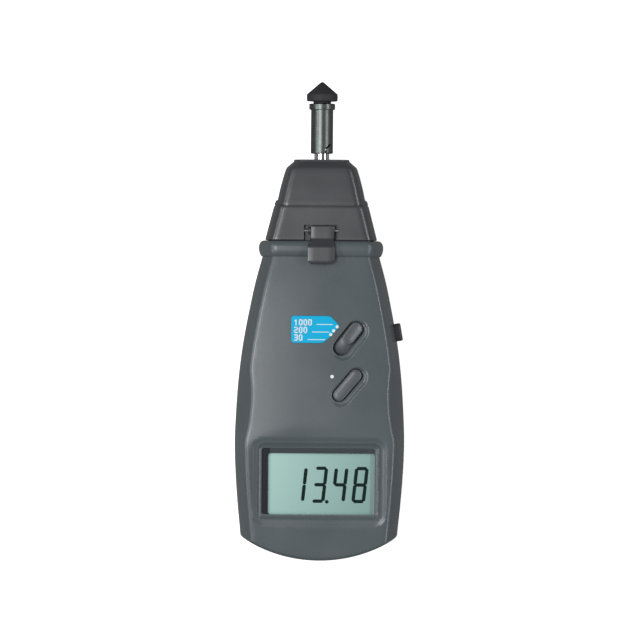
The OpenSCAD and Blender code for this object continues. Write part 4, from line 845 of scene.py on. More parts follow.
# Battery bay: a rim behind the door, straight walls and a flat roof, as nested rectangles
def batteryBay():
    low, high, width, level = bay["low"], bay["high"], 2 * bay["half"], bay["rim"]
    reach = doorEnd + bay["overlap"]
    rim = boxLoop(width + bay["overlap"], reach, bay["corner"], gap=4, arcSteps=4) + [0, reach / 2]
    outline = boxLoop(width, high - low, bay["corner"], gap=4, arcSteps=4) + [0, (low + high) / 2]
    rim, outline = evened([rim, outline])
    rim[:, 1] = np.maximum(rim[:, 1], endArc(rim[:, 0]) + 0.8)
    rings = [atHeight(rim, level)] + [atHeight(outline, z) for z in (level, level + 1.0, bay["roof"])]
    shape = loft(np.stack(rings), capStart=False)
    addMesh("batteryBay", shape, "housing", "blackPlastic", upwards=False)


# Battery door: a plate with a quarter round at its edge; grip ribs are cosine waves across its lower end
def batteryDoor():
    length, half, soft = door["length"], door["width"] / 2, door["edgeRound"]
    ends = np.array([0.0, 0.3, 0.9])
    rows = np.concatenate([ends, np.linspace(1.5, length - 1.5, 181), length - ends[::-1]])
    x, y = np.meshgrid(np.linspace(-1, 1, 81) * half, rows)
    y = np.maximum(y, endArc(x) + door["endGap"])
    edge = np.minimum.reduce([half - np.abs(x), y - endArc(x) - door["endGap"], length - y])
    lift = soft - np.sqrt(np.maximum(0, soft**2 - np.maximum(soft - edge, 0)**2))
    along = (y - door["ribAt"]) / door["ribPitch"]
    wave = (0.5 - 0.5 * np.cos(2 * math.pi * along)) * ((along > 0) & (along < door["ribs"]))
    span = 1 - np.clip((np.abs(x) - door["ribWidth"] / 2) / door["ribEnd"], 0, 1)
    lift = lift + door["ribDepth"] * wave * ease(span)
    outside = np.stack([x, y, door["low"] + lift], -1)
    inside = np.stack([x * (half + door["flare"]) / half, y, 0 * x + door["low"] + door["thick"]], -1)
    rims = [patch(np.stack([outside[part], inside[part]])) for part in (0, -1, np.s_[:, 0], np.s_[:, -1])]
    shape = joined(patch(outside), patch(inside), *rims)
    addMesh("batteryDoor", shape, "battery_door", "case", ["battery_door"], upwards=False)


rearShell()
batteryBay()
batteryDoor()
print("case: rear shell, bay and battery door made")


# The rows of "cap" are (share of its length, share of its width, share of its depth), and those of "neckRows"
# (place from the body's start, flare of the width, draw of the depth)
head = {
    "start": 143.7, "baseLength": 15.5, "width": 50.4, "depth": 28.4, "baseWidthShare": 0.842,
    "baseDepthShare": 0.9, "neck": 0.9, "capLength": 19.9, "capWidth": 40.4, "capDepth": 24.6,
    "lean": 1.5, "round": 3.8, "edgeTurn": 70,
    "cap": [[0, 1, 1], [0.136, 0.96, 0.972], [0.317, 0.926, 0.935], [0.588, 0.856, 0.865],
            [0.764, 0.802, 0.82], [0.819, 0.777, 0.795], [0.955, 0.624, 0.6], [1, 0.609, 0.585]],
    "neckRows": [[-1.2, 0.7, 0.6], [-0.36, 0.7, 0.6], [-0.34, 0.72, 0], [0, 0.78, 0], [1.4, 0.62, 0],
                 [1.7, 0.05, 0]],
    "wall": 2.0, "hollow": 11.0, "notch": 15.4, "notchLength": 6.9, "notchDepth": 5.8, "bore": 4.1,
    "boreDepth": 3.0, "endInsets": (0.5, 0.15, 0.12, 0.45), "seat": 6.0, "seatLean": 1.5, "seatRound": 1.0,
    "draft": (2.0, 1.0),
}
capStart = head["start"] + head["baseLength"]
capBody = capStart + head["neck"]
headEnd = capBody + head["capLength"]
notchEnd = head["start"] + head["notchLength"]


# Rings of a head part: a side that leans in, a rounded edge and a flat face, mirrored four ways
def headRings(places, widths, depths, leans, edges=head["round"]):
    count = (len(places),)
    w, h, leans, edges = [np.broadcast_to(row, count)[:, None] for row in (widths, depths, leans, edges)]
    turns = np.radians(np.linspace(head["edgeTurn"], 0, 7))
    faceX, cut = w - leans - edges, head["notch"] / 2
    cornerX, cornerZ = faceX + edges * np.sin(turns), h - edges * (1 - np.cos(turns))
    up = np.linspace(0, 1, 8)[:-1]
    sideX, sideZ = w + (cornerX[:, :1] - w) * up**1.6, cornerZ[:, :1] * up
    outerX = cut + (faceX - cut) * np.linspace(1, 0, 9)[1:]
    innerX = cut * np.linspace(1, 0, 6)[1:] * np.ones_like(faceX)
    x = np.hstack([sideX, cornerX, outerX, innerX])
    z = np.hstack([sideZ, cornerZ, np.repeat(h, outerX.shape[1] + innerX.shape[1], 1)])
    x = np.hstack([x, -x[:, -2::-1], -x[:, 1:], x[:, -2:0:-1]])
    z = np.hstack([z, z[:, -2::-1], -z[:, 1:], -z[:, -2:0:-1]])
    return np.stack([x, np.repeat(np.asarray(places)[:, None], x.shape[1], 1), headAxis + z], -1)


# Half width and half depth of the lower part at a place along it, narrowing evenly
def baseHalf(y):
    share = (y - head["start"]) / head["baseLength"]
    return (head["width"] / 2 * (1 + (head["baseWidthShare"] - 1) * share),
            head["depth"] / 2 * (1 + (head["baseDepthShare"] - 1) * share))


# Lower part: the rings, less the two notches, with each notch's walls and floor, and the inside wall
def headLower():
    start, cut, thick = head["start"], head["notch"] / 2, head["wall"]
    places = np.concatenate([[start, start + 0.15], np.linspace(start + 0.5, notchEnd, 8),
                             np.linspace(notchEnd, capStart - 0.4, 10)[1:], [capStart - 0.12, capStart]])
    inset = np.zeros(len(places))
    inset[[0, 1, -2, -1]] = head["endInsets"]
    w, h = baseHalf(places)
    rings = headRings(places, w - inset, h - inset, head["lean"])
    x, z = rings[..., 0], rings[..., 2]
    flat = (np.abs(z - np.roll(z, -1, 1)) < 1e-6) & (np.abs(z - headAxis) > 3)
    inNotch = (np.abs(x + np.roll(x, -1, 1)) / 2 < cut) & flat
    keep = ~(inNotch[:-1] & (places[1:, None] <= notchEnd + 1e-6))
    seat = headRings([capStart] * 2, [w[-1] - inset[-1], head["seat"]], [h[-1] - inset[-1], head["seat"]],
                     [head["lean"], head["seatLean"]], [head["round"], head["seatRound"]])
    draftX, draftZ = head["draft"]
    inner = headRings([start, start + head["hollow"]], [w[0] - thick, w[0] - thick - draftX],
                      [h[0] - thick, h[0] - thick - draftZ], head["lean"])
    parts = [patch(rings, wrap=True, keep=keep), patch(seat, wrap=True),
             patch(np.stack([rings[0], inner[0]]), wrap=True, keep=~inNotch[:1])]
    along = np.linspace(start, notchEnd, 9)
    faceZ = baseHalf(along)[1]
    side = np.column_stack([np.full(9, cut), along, faceZ])
    end = np.column_stack([np.linspace(-cut, cut, 11)[1:-1], np.full(9, notchEnd), np.full(9, faceZ[-1])])
    path = np.vstack([mirrored(side), end, side[::-1]])
    x, y, z = np.repeat(path.T[:, None], 5, 1)
    depths = np.linspace(0, 1, 5)[:, None] * head["notchDepth"]
    floorX, floorY = np.meshgrid(np.linspace(-cut, cut, 6), along)
    for sign in (1, -1):
        floorZ = np.full_like(floorX, headAxis + sign * (faceZ[-1] - head["notchDepth"]))
        parts += [patch(np.stack([x, y, headAxis + sign * (z - depths)], -1)),
                  patch(np.stack([floorX, floorY, floorZ], -1))]
    shape = joined(*parts, patch(inner, wrap=True))
    addMesh("headLower", shape, "contact_head", "head", ["head_base"])


# Upper part: a drawn-in neck with a flared foot, the tapered body and its chamfered end with the shaft's bore
def headUpper():
    table = np.array(head["cap"])
    neck, flare, sunk = np.array(head["neckRows"]).T
    body = np.unique(np.concatenate([np.linspace(0, 0.764, 9), table[4:, 0], [0.79, 0.84, 0.93, 0.985]]))[1:]
    shares = np.concatenate([neck / head["capLength"], body])
    widths, depths = [np.interp(shares, table[:, 0], table[:, column]) * head[key] / 2
                      for column, key in ((1, "capWidth"), (2, "capDepth"))]
    count = len(neck)
    lean = 0.9 * head["lean"] * np.concatenate([np.ones(count), widths[count:] / (head["capWidth"] / 2)])
    lean[:count] += flare + sunk * 0.2
    widths[:count] += flare
    depths[:count] -= sunk
    rings = headRings(capBody + shares * head["capLength"], widths, depths, lean)
    last = rings[-1]
    angle = np.arctan2(last[:, 0], last[:, 2] - headAxis)
    hole = np.stack([head["bore"] * np.sin(angle), np.full(len(angle), headEnd),
                     headAxis + head["bore"] * np.cos(angle)], -1)
    soft = last * 0.97 + hole * 0.03
    soft[:, 1] = headEnd
    end = np.stack([soft, (soft + hole) / 2, hole, hole - [0, head["boreDepth"], 0]])
    shape = patch(np.concatenate([rings, end]), wrap=True)
    addMesh("headUpper", shape, "contact_head", "head", ["head_cap"], sharpAngle=28)


# The rows of "sides" are (share of the half width, pull towards the middle), those of "hub" (radius, place)
latch = {"width": 12.0, "tab": 10.6, "thick": 1.8, "plate": 1.9, "rise": 0.5, "pivot": 148.0,
         "pivotZ": 31.716, "low": 36.12, "taper": 1.0, "corner": 1.6, "sideCut": 0.25, "round": 0.55,
         "gap": 0.4, "chamfer": (1.3, 0.5), "bendAt": -3.0, "footAt": 0.6, "footDrop": 1.5,
         "pinRadius": 0.75, "pinLength": 19.0, "pinRound": 0.2,
         "sides": [[-1, 0.35], [-0.985, 0.12], [-0.94, 0], [-0.5, 0], [0, 0], [0.5, 0], [0.94, 0],
                   [0.985, 0.12], [1, 0.35]],
         "hub": [(0.8, -5.9), (1.55, -5.9), (1.75, -5.7), (1.75, -2.6), (0.8, -2.6)]}


# A profile of (radius, place) turned round a latch's pivot, which lies across the head
def roundPivot(profile, sign, side=1):
    up, along, out = lathe(profile, 0, 32).transpose(2, 0, 1)
    pivotZ = headAxis + sign * (latch["pivotZ"] - headAxis)
    return np.stack([side * along, latch["pivot"] + up, pivotZ + out], -1)


# Latch: its side profile carried across its width, narrowed at the tab's free end, with a hub on each side
def latchPiece(name, node, sign):
    start, end = head["start"] - latch["tab"], notchEnd - latch["gap"]
    face = float(headAxis + baseHalf(latch["pivot"])[1]) + latch["rise"]
    low, top = latch["low"], latch["low"] + latch["thick"]
    bendY, footY = head["start"] + latch["bendAt"], head["start"] + latch["footAt"]
    long, high = latch["chamfer"]
    corners = [[start, low], [start, top - high], [start + long, top], [bendY, top], [footY, face],
               [end, face], [end, face - latch["footDrop"]], [footY + 0.2, face - latch["plate"]],
               [bendY - 0.2, low]]
    y, z = roundPolygon(corners, latch["round"], 4).T
    half = latch["width"] / 2 - latch["taper"] * (1 - ease((y - start) / latch["corner"]))
    cut = latch["sideCut"] * ease((y - footY + 0.8) / 0.4)
    middle = np.interp(y, [start, bendY, footY, end], [(low + top) / 2] * 2 + [face - 0.9] * 2)
    share, pull = np.array(latch["sides"]).T[:, :, None]
    x = share * half * np.where(share < 0, 1 - cut, 1)
    y = y - np.sign(y - (start + end) / 2) * np.minimum(pull * 0.6, 0.3)
    z = headAxis + sign * (z - (z - middle) * pull * 0.5 - headAxis)
    hubs = [patch(roundPivot(latch["hub"], sign, side), wrap=True) for side in (-1, 1)]
    shape = joined(loft(np.stack([x, y, z], -1)), *hubs)
    addMesh(name, shape, node, "head", [node], upwards=sign > 0)


# Latch pin: a round bar across the notch with rounded ends
def latchPin(name, sign):
    r, half, soft = latch["pinRadius"], latch["pinLength"] / 2, latch["pinRound"]
    end = [(r, half - soft), (r - soft, half), (0.02, half)]
    profile = [(radius, -place) for radius, place in end[::-1]] + end
    addMesh(name, loft(roundPivot(profile, sign)), "contact_head", "pinSteel", ["latch_pins"])


headLower()
headUpper()
latchPiece("frontLatch", "front_latch", 1)
latchPiece("rearLatch", "rear_latch", -1)
latchPin("frontLatchPin", 1)
latchPin("rearLatchPin", -1)
print("contact head: lower and upper part, latches and pins made")


# The slot lies at "slotTurn", runs straight for "slotLength" less "slotBend", then slants by "slotSlant";
# columns within the first angle of "follow" slant with it, and the rest less and less over the second
tip = {"shaftRadius": 3.375, "shaftEnd": 200.2, "sleeveFrom": 182.7, "coneFrom": 205.2, "sleeveRadius": 5.0,
       "flangeRadius": 5.85, "flangeLength": 2.7, "bore": 3.45, "neckRadius": 4.0, "neck": 1.0,
       "coneRadius": 6.95, "rim": 3.2, "point": 5.6, "pointRadius": 0.5, "plugRadius": 2.95, "plug": 4.0,
       "slotTurn": 20, "slotLength": 3.0, "slotBend": 0.9, "slotRun": 1.3, "slotSlant": 50, "slotHalf": 7.5,
       "follow": (12, 70),
       "spindle": [(0.02, 152.5), (2.3, 152.5), (2.5, 152.7), (2.5, 179.1)]}


# Sleeve: a tube on a grid round the axis whose columns follow the slot's bend, with the slot's quads left out
def tipSleeve():
    r, flange, start, end = tip["sleeveRadius"], tip["flangeRadius"], tip["sleeveFrom"], tip["coneFrom"]
    straight = start + tip["slotLength"] - tip["slotBend"]
    slotEnd = start + tip["slotLength"] + tip["slotRun"]
    step = end - tip["flangeLength"]
    rows = np.concatenate([np.linspace(start + 0.35, straight, 7), np.linspace(straight, slotEnd, 9)[1:]])
    profile = [(tip["bore"], start + 1.0), (tip["bore"], start + 0.1), (r - 0.45, start)]
    profile += [(r, row) for row in rows] + [(r, start + 7), (r, step - 0.1), (flange - 0.15, step)]
    profile += [(flange, step + 0.2), (flange, end - 0.3), (flange - 0.3, end), (3.0, end)]
    radii, places = np.array(profile).T[:, :, None]
    angle = np.arange(96) * 3.75 - 180
    slant = math.tan(math.radians(tip["slotSlant"]))
    drift = np.degrees(slant * np.clip(places - straight, 0, slotEnd - straight) / r)
    near, fade = tip["follow"]
    turn = np.radians(tip["slotTurn"] + angle + drift * (1 - ease((np.abs(angle) - near) / fade)))
    rings = np.stack([radii * np.sin(turn), places + 0 * turn, headAxis + radii * np.cos(turn)], -1)
    columns = np.flatnonzero((angle > -tip["slotHalf"] - 0.1) & (angle < tip["slotHalf"] - 0.1))
    last, left, right = 2 + len(rows), columns[0], columns[-1] + 1
    keep = np.ones((len(places) - 1, len(angle)), bool)
    keep[:last, columns] = False
    path = np.vstack([rings[2:last + 1, left], rings[last, left + 1:right], rings[2:last + 1, right][::-1]])
    shrink = (tip["bore"] + 0.05) / np.hypot(path[:, 0], path[:, 2] - headAxis)
    deep = np.stack([path[:, 0] * shrink, path[:, 1], headAxis + (path[:, 2] - headAxis) * shrink], -1)
    shape = joined(patch(rings, wrap=True, keep=keep), patch(np.stack([path, deep])))
    addMesh("tipSleeve", shape, "contact_tip", "darkSteel", ["tip_sleeve"], sharpAngle=30)


# Rubber cone: a turned profile of plug, neck, rim and point, its corners rounded
def tipCone():
    start, r, neck = tip["coneFrom"] + tip["neck"], tip["coneRadius"], tip["neckRadius"]
    top = start + tip["rim"] + tip["point"]
    corners = [(tip["plugRadius"] - 0.05, tip["coneFrom"] - tip["plug"]),
               (tip["plugRadius"], tip["coneFrom"]), (neck, tip["coneFrom"] + 0.02), (neck, start),
               (r - 0.35, start), (r, start + 0.5), (r, start + tip["rim"]),
               (tip["pointRadius"] + 0.25, top - 0.25), (0.02, top)]
    shape = loft(lathe(roundCorners(corners, 0.4, 4), headAxis))
    addMesh("tipCone", shape, "contact_tip", "rubber", ["tip_cone"], sharpAngle=50)


# Shaft: a turned profile of the thin spindle in the bearings and the thicker end in the sleeve
def shaftRod():
    r, end = tip["shaftRadius"], tip["shaftEnd"]
    profile = tip["spindle"] + [(r, tip["spindle"][-1][1]), (r, end - 0.7), (r - 0.5, end), (0.02, end)]
    addMesh("shaftRod", loft(lathe(profile, headAxis)), "rotor", "steel", ["shaft"], sharpAngle=30)


tipSleeve()
tipCone()
shaftRod()
print("tip: sleeve, rubber cone and shaft made")


# The rows of "profile" are (inset, height above the face), those of the measure key (inset, way out)
modeKnob = {"travel": 5.9, "length": 11.0, "width": 5.6, "flangeDrop": 2.9, "skirt": 0.6,
            "profile": [(0.0, -0.6), (0.06, 0.05), (0.2, 0.28), (0.45, 0.4), (0.9, 0.35), (1.3, 0.15),
                        (2.0, 0.05)]}
memoryKey = {"gap": 0.6, "dome": 0.8, "flangeDrop": 3.0, "skirt": 0.8}
measureKey = {"at": (34.1, 102.6), "level": 20.8, "turn": 9.94, "length": 8.0, "height": 6.4, "radius": 1.6,
              "lean": 0.06,
              "profile": [(0.0, -3.5), (0.0, 1.7), (0.12, 2.1), (0.4, 2.35), (0.8, 2.4), (2.0, 2.4)]}


# Pill-shaped boss: its outline drawn in by the inset at each (inset, height) of a profile, closed at the top
def boss(radius, pitch, profile, centre, turn):
    rings = [atHeight(placed(pillLoop(radius - inset, pitch), *centre, turn), height)
             for inset, height in profile]
    return loft(np.stack(rings), capStart=False)


# Mode knob: a pill with a dished top at the upper end of its travel, and a skirt below the face
def modeKnobPiece():
    turn, shift = modeSlot["turn"], modeKnob["travel"] / 2
    centre = placed(np.array([[shift, 0.0]]), *modeSlot["at"], turn)[0]
    face = float(crownAt(*modeSlot["at"]))
    low = face - modeKnob["flangeDrop"]
    profile = [(0.0, low)] + [(inset, face + rise) for inset, rise in modeKnob["profile"]]
    cap = boss(modeKnob["width"] / 2, modeKnob["length"] - modeKnob["width"], profile, centre, turn)
    skirt = boss(modeSlot["radius"] + modeKnob["skirt"], modeSlot["pitch"] + shift + 1,
                 [(0.0, low - 0.8), (0.0, low - 0.1), (0.1, low)], centre, turn)
    addMesh("modeKnob", joined(cap, skirt), "mode_slider", "knob", ["mode_knob"], sharpAngle=50)


# Memory key: a pill whose top is a dome, inset 0.94 r (1 - cos t) at a height of dome sin t, and its skirt
def memoryKeyPiece():
    at, pitch, turn = memorySlot["at"], memorySlot["pitch"], memorySlot["turn"]
    r, face = memorySlot["radius"] - memoryKey["gap"], float(crownAt(*at))
    low = face - memoryKey["flangeDrop"]
    profile = [(0.0, low), (0.0, face - 0.15)]
    profile += [(r * (1 - math.cos(t)) * 0.94, face - 0.1 + memoryKey["dome"] * math.sin(t))
                for t in np.radians(np.linspace(0, 80, 8))]
    skirt = boss(memorySlot["radius"] + memoryKey["skirt"], pitch, [(0.0, low - 0.8), (0.0, low)], at, turn)
    shape = joined(boss(r, pitch, profile, at, turn), skirt)
    addMesh("memoryKey", shape, "memory_key", "knob", ["memory_button"], sharpAngle=50)


# Measure key: a rounded block carried out of the case's side, whose outer face leans out towards its foot
def measureKeyPiece():
    rings, r = [], measureKey["radius"]
    for inset, out in measureKey["profile"]:
        long, high = measureKey["length"] - 2 * inset, measureKey["height"] - 2 * inset
        along, up = boxLoop(long, high, max(0.3, r - inset), gap=2.0).T
        lean = -measureKey["lean"] * np.maximum(up, -1.5) if out > 0 else 0 * up
        turned = placed(np.column_stack([out + lean, along]), *measureKey["at"], measureKey["turn"])
        rings.append(np.column_stack([turned, measureKey["level"] + up]))
    shape = loft(np.stack(evened(rings)), capStart=False)
    addMesh("measureKey", shape, "measure_key", "button", ["measure_button"], sharpAngle=45)


modeKnobPiece()
memoryKeyPiece()
measureKeyPiece()
print("controls: mode knob, memory key and measure key made")


# Two tones of a colour, blended by noise of a size and detail
def twoTone(name, size, detail, first, second, **plain):
    finish = Finish(name, **plain)
    factor = finish.noise(size, detail)
    return finish, factor, finish.mix(factor, srgb(*first), srgb(*second))


# Display, label, prints, windows, boards and cells
def makeDisplayMaterials():
    lcd = Finish("lcdGlass", Roughness=0.3, Specular_IOR_Level=0.3)
    x, y, _ = lcd.axes()
    # Painted light: the LCD's colour runs lighter towards the left and the top and darker towards the right
    # and the bottom, standing in for how light falls across the glass
    across = lcd.spread(x * 0.9 - (y + 71.0) * 0.35, -22.0, 27.0)
    tintWithPaintedLight = lcd.mix(across, srgb(182, 220, 212), srgb(144, 177, 173))
    materials["lcd"] = lcd.feed(Base_Color=lcd.mix(lcd.noise(0.6) * 0.12, tintWithPaintedLight, srgb(120, 150, 142)))
    ink, _, tone = twoTone("figureInk", 1.5, 2.0, (20, 36, 34), (28, 46, 44), Roughness=0.6,
                           Specular_IOR_Level=0.05)
    materials["figures"] = ink.feed(Base_Color=tone)
    clear, dust, tone = twoTone("clearWindow", 9.0, 3.0, (40, 52, 50), (52, 64, 62), Specular_IOR_Level=0.3,
                                Alpha=0.03)
    materials["clear"] = clear.feed(Base_Color=tone, Roughness=dust * 0.05 + 0.02)
    red, _, tone = twoTone("redWindow", 6.0, 3.0, (96, 16, 18), (70, 10, 14), Roughness=0.08, Alpha=0.6)
    materials["redClear"] = red.feed(Base_Color=tone)
    shade = Finish("windowRim", Roughness=0.5, Specular_IOR_Level=0.3)
    x, y, _ = shade.axes()
    # Painted shadow: the rim's colour is darkened fully on the left and partly at the top, and keeps its lit
    # grey on the right and at the bottom
    paintedShadowMask = shade.spread(x * -1.0, 21.6, 22.4).math("MAXIMUM", shade.spread(y, -59.6, -59.0) * 0.45)
    soft = shade.mix(shade.noise(0.6) * 0.2, srgb(34, 37, 41), srgb(40, 43, 48))
    materials["windowRim"] = shade.feed(Base_Color=shade.mix(paintedShadowMask, srgb(78, 85, 89), soft))
    label, _, tone = twoTone("modeLabel", 12.0, 3.0, (0, 168, 216), (0, 182, 228), Roughness=0.5,
                             Specular_IOR_Level=0.2)
    materials["label"] = label.feed(Base_Color=tone, Normal=label.bump(label.noise(0.4), 0.01))
    white = Finish("printWhite", Roughness=0.5)
    thin = white.noise(0.8) * 0.4
    materials["print"] = white.feed(Base_Color=white.mix(thin, srgb(236, 240, 240), srgb(214, 219, 220)))
    board = Finish("boardGreen", Roughness=0.45)
    traces = board.spread(board.noise(2.0, 1.0, stretch=(1.0, 0.2, 1.0)), 0.48, 0.54)
    materials["board"] = board.feed(Base_Color=board.mix(traces, srgb(22, 74, 46), srgb(34, 96, 60)))
    cell = Finish("cellWrap", Roughness=0.3, Metallic=0.5)
    band = cell.spread(cell.noise(30.0, 1.0), 0.4, 0.6)
    materials["cell"] = cell.feed(Base_Color=cell.mix(band, srgb(70, 72, 76), srgb(98, 100, 104)))


makeDisplayMaterials()


# Raised outline: rings drawn towards a middle by each (share, lift), at the surface's height plus the lift
def raised(outline, middle, rows, surface):
    rings = []
    for share, lift in rows:
        loop = middle + (outline - middle) * share
        rings.append(np.column_stack([loop, surface(loop) + lift]))
    return loft(np.stack(rings), capStart=False)


# Height of the label's edge: the crown less the bed's depth, plus the label's thickness
def labelHeight(points):
    return crownAt(*points.T) - labelPlate["sink"] + labelPlate["thick"]


# Label lying on the crowned face
def labelPiece():
    rows = [(1.0, -0.1), (1.0, 0.0)] + [(share, 0.02) for share in (0.995, 0.9, 0.7, 0.5, 0.3, 0.1)]
    shape = raised(labelOutline(), np.array(labelPlate["at"]), rows, labelHeight)
    addMesh("modeLabel", shape, "housing", "label", ["mode_label"], sharpAngle=60)


# Height of the printed surface at a place of the front: the label's top or the face
def printHeight(points, onLabel):
    if onLabel:
        return labelHeight(points) + 0.02
    x, y = points.T
    return faceHeight(x, rowOf(x, y)) - featureDepth(x, y)


# Thin print: a closed outline just above the surface, with a rim that goes down into it
def inkPatch(outline, onLabel):
    rows = ((1.0, -prints["below"]), (1.0, prints["above"]), (0.5, prints["above"]))
    return raised(outline, outline.mean(0), rows, lambda loop: printHeight(loop, onLabel))


# Circle: x + r cos a, y + r sin a
def dotLoop(x, y, radius):
    turn = np.linspace(0, 2 * math.pi, 28, endpoint=False)
    return np.stack([x + radius * np.cos(turn), y + radius * np.sin(turn)], -1)


# Straight bar between two places with round ends
def barLoop(first, last, width):
    first, last = np.array(first, float), np.array(last, float)
    span = last - first
    turn = math.degrees(math.atan2(span[1], span[0]))
    return placed(pillLoop(width / 2, float(np.hypot(*span)), 8, 3), *((first + last) / 2), turn)


# Plain numerals made of bars: the strokes of each are pairs of corners on a grid two wide and four high
numerals = {"0": [(0, 0, 2, 0), (2, 0, 2, 4), (2, 4, 0, 4), (0, 4, 0, 0)],
            "1": [(1, 0, 1, 4), (0.2, 3.2, 1, 4)],
            "2": [(0, 4, 2, 4), (2, 4, 2, 2), (2, 2, 0, 2), (0, 2, 0, 0), (0, 0, 2, 0)],
            "3": [(0, 4, 2, 4), (2, 4, 2, 0), (0.3, 2, 2, 2), (0, 0, 2, 0)]}
prints = {"dots": [(7.5, 105.0, 0.7), (5.95, 103.2, 0.7), (4.65, 101.5, 0.7)],
          "rows": [("1000", -11.5, 105.7), ("200", -11.5, 102.3), ("30", -11.5, 98.9)],
          "bars": [((-1.6, 106.0), (5.4, 106.0)), ((-3.6, 102.6), (3.8, 102.6)), ((-5.6, 99.2), (2.0, 99.2))],
          "unit": 0.58, "pitch": 3.6, "stroke": 0.46, "barStroke": 0.3, "keyDot": (5.4, 82.7, 0.8),
          "above": 0.015, "below": 0.045}


# Dots, numerals and lines of the label, and the dot beside the memory key
def printPieces():
    parts = [inkPatch(dotLoop(*dot), True) for dot in prints["dots"]]
    unit = prints["unit"]
    for word, left, low in prints["rows"]:
        for index, letter in enumerate(word):
            base = np.array([left + index * prints["pitch"] * unit, low])
            for stroke in np.array(numerals[letter]) * unit:
                parts.append(inkPatch(barLoop(base + stroke[:2], base + stroke[2:], prints["stroke"]), True))
    parts += [inkPatch(barLoop(first, last, prints["barStroke"]), True) for first, last in prints["bars"]]
    addMesh("labelPrint", joined(*parts), "housing", "print", sharpAngle=60)
    addMesh("keyDot", inkPatch(dotLoop(*prints["keyDot"]), False), "housing", "print", sharpAngle=60)


# Rim inside the window's opening, wider on the left and at the top, with a painted shadow in its colour on
# the left and at the top
def windowRim():
    outer = boxLoop(*recess["opening"])
    share = np.array(recess["pane"]) / recess["opening"][:2]
    inner = facetToFront(outer * share + recess["paneAt"])
    outer = facetToFront(outer + recess["openingAt"])
    rings = [atHeight(loop, facetHeight + (loop[:, 1] - caseShape["facetTop"]) * tiltTan - depth)
             for loop, depth in zip((outer, inner, inner), recess["rimDepths"])]
    addMesh("windowRim", patch(np.stack(rings), wrap=True), "housing", "windowRim", sharpAngle=60)


# Seven strokes as pairs of corners on a grid one wide and two high, and the strokes of each figure
strokes = {"top": (0, 2, 1, 2), "upLeft": (0, 1, 0, 2), "upRight": (1, 1, 1, 2), "middle": (0, 1, 1, 1),
           "lowLeft": (0, 0, 0, 1), "lowRight": (1, 0, 1, 1), "bottom": (0, 0, 1, 0)}
figures = {"1": ["upRight", "lowRight"], "3": ["top", "upRight", "middle", "lowRight", "bottom"],
           "4": ["upLeft", "upRight", "middle", "lowRight"], "8": list(strokes)}
digits = {"text": "1348", "left": 15.25, "low": 26.75, "pitch": 9.1, "width": 4.65, "height": 14.8,
          "stroke": 1.5, "slant": 6.0, "pull": 0.8, "sink": 0.07, "point": (3.5, 26.5, 0.8)}


# Figures of the display: bars with round ends on the glass, slanted by x + tan(slant) (y - low)
def displayFigures():
    node = frame["nodes"]["lcd_digits"]
    spots = np.array([list(node.matrix_world @ vertex.co) for vertex in node.data.vertices]) / toMetres
    level = float(np.max(spots[:, 2] - tiltTan * (spots[:, 1] + halfLength)))
    slant = math.tan(math.radians(digits["slant"]))
    loops = []
    for index, letter in enumerate(reversed(digits["text"])):
        corner = np.array([digits["left"] - digits["pitch"] * index, 0.0])
        for stroke in figures[letter]:
            ends = np.array(strokes[stroke]).reshape(2, 2) * [digits["width"], digits["height"] / 2] + corner
            pull = (ends[1] - ends[0]) / np.hypot(*(ends[1] - ends[0])) * digits["pull"]
            ends = ends + [pull, -pull]
            ends[:, 0] += slant * ends[:, 1]
            ends[:, 1] += digits["low"]
            loops.append(barLoop(*ends, digits["stroke"]))
    loops.append(dotLoop(*digits["point"]))
    rows = ((1.0, -digits["sink"]), (1.0, 0.0), (0.5, 0.0))
    parts = [raised(loop, loop.mean(0), rows, lambda place: level + place[:, 1] * tiltTan) for loop in loops]
    addMesh("displayFigures", joined(*parts), "housing", "figures", ["lcd_digits"], sharpAngle=60)


windowRim()
displayFigures()
labelPiece()
printPieces()
print("display: label and prints made")

# Slots of the record whose material has another name
slotMaterials = {"red_clear": "redClear", "black_plastic": "blackPlastic", "white_plastic": "whitePlastic",
                 "parts": "blackPlastic", "strip": "rubber", "steel": "pinSteel", "dark_steel": "darkSteel"}


# Every CAD node that still shows takes the material of its slot in the record
def dressNodes():
    nodeSlots = {row["node"]: row["material_slot"] for row in frame["record"]["subparts"]}
    for name, thing in frame["nodes"].items():
        thing.data.materials.clear()
        slot = nodeSlots[name]
        thing.data.materials.append(materials[slotMaterials.get(slot, slot)])


dressNodes()


# "scale" is millimetres to a pixel, "middle" the place in the photo's middle, "roll" its turn in degrees
photo = {"scale": 0.449, "lens": 500.0, "sensor": 36.0, "size": 640, "middle": (-0.2, 107.98), "roll": 0.47,
         "focusHeight": 24.0}


# Camera straight above, at the distance scale * size * lens / sensor
def makeCamera():
    data = bpy.data.cameras.new("photoCamera")
    data.lens, data.sensor_width = photo["lens"], photo["sensor"]
    camera = bpy.data.objects.new("photoCamera", data)
    bpy.context.scene.collection.objects.link(camera)
    distance = photo["scale"] * photo["size"] * photo["lens"] / photo["sensor"]
    x, y = photo["middle"]
    camera.location = Vector((x, y - halfLength, distance + photo["focusHeight"])) * toMetres
    camera.rotation_euler = (0, 0, math.radians(photo["roll"]))
    bpy.context.scene.camera = camera


# Strengths of the background: what the camera sees, what lights the object, and the share in reflections
backdrop = {"size": 6.0, "drop": 0.0001, "seen": 0.75, "paper": 0.86, "bounce": 0.16, "mirrored": 0.08}


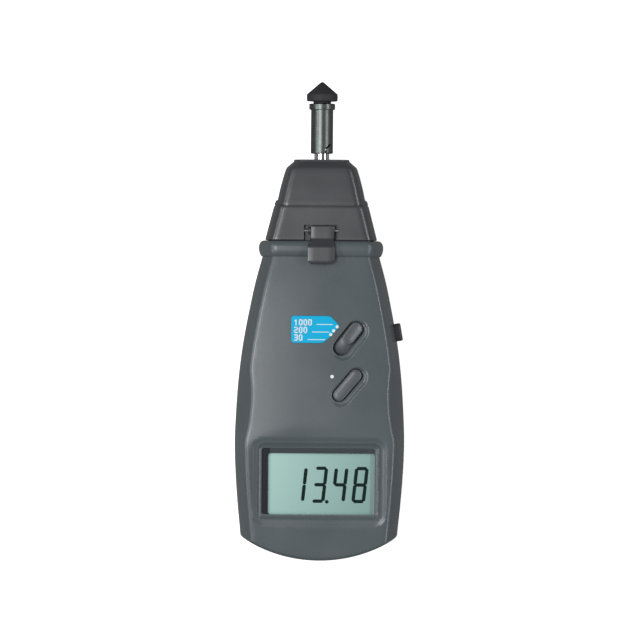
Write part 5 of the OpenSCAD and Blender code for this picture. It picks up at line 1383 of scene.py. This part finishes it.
# Floor: a square of paper that glows for the camera and stays dim for everything else
def makeFloor():
    size, drop = backdrop["size"], backdrop["drop"]
    mesh = bpy.data.meshes.new("floor")
    corners = [(-size, -size, -drop), (size, -size, -drop), (size, size, -drop), (-size, size, -drop)]
    mesh.from_pydata(corners, [], [(0, 1, 2, 3)])
    floor = bpy.data.objects.new("floor", mesh)
    bpy.context.scene.collection.objects.link(floor)
    paper = Finish("floorPaper", Roughness=0.9, Specular_IOR_Level=0.1, Emission_Strength=1.0)
    outputs = paper.node("ShaderNodeLightPath").socket.node.outputs
    seen = Wire(paper, outputs["Is Camera Ray"]).math("MAXIMUM", Wire(paper, outputs["Is Transmission Ray"]))
    seen = seen.math("MAXIMUM", Wire(paper, outputs["Is Glossy Ray"]) * backdrop["mirrored"])
    grey, dark, glow = [(*[backdrop[key]] * 3, 1) for key in ("paper", "bounce", "seen")]
    paper.feed(Base_Color=paper.mix(seen, dark, grey), Emission_Color=paper.mix(seen, (0, 0, 0, 1), glow))
    mesh.materials.append(paper.material)


# World: white for the camera, dim as a light
def makeWorld():
    world = bpy.data.worlds.new("studio")
    bpy.context.scene.world = world
    world.use_nodes = True
    studio = Tree(world.node_tree)
    back = studio.tree.nodes["Background"]
    back.inputs["Color"].default_value = (1, 1, 1, 1)
    seen = studio.node("ShaderNodeLightPath", output="Is Camera Ray")
    strength = studio.node("ShaderNodeMapRange", {}, seen, 0.0, 1.0, backdrop["bounce"], 1.0)
    studio.tree.links.new(strength.socket, back.inputs["Strength"])


# Soft box above, a little left of the camera, and two narrow strips low on both sides for the edge lines.
# Each lamp: angle from the vertical, distance, width, length and power
lamps = {"topBox": (-20, 1.0, 0.28, 0.6, 4.85), "leftStrip": (-50, 0.9, 0.06, 1.1, 2.6),
         "rightStrip": (52, 0.9, 0.08, 1.1, 3.3)}


# Area lamps on an arc over the object, each facing its middle: (d sin a, 0, d cos a)
def makeLights():
    for name, (angle, distance, width, length, power) in lamps.items():
        data = bpy.data.lights.new(name, "AREA")
        data.shape, data.size, data.size_y, data.energy = "RECTANGLE", width, length, power
        lamp = bpy.data.objects.new(name, data)
        bpy.context.scene.collection.objects.link(lamp)
        a = math.radians(angle)
        lamp.location = (distance * math.sin(a), 0, distance * math.cos(a) + 0.02)
        lamp.rotation_euler = (0, a, 0)


makeCamera()
makeFloor()
makeWorld()
makeLights()
bpy.context.scene.view_settings.view_transform = "Standard"
print("stage: camera, floor and lights placed")
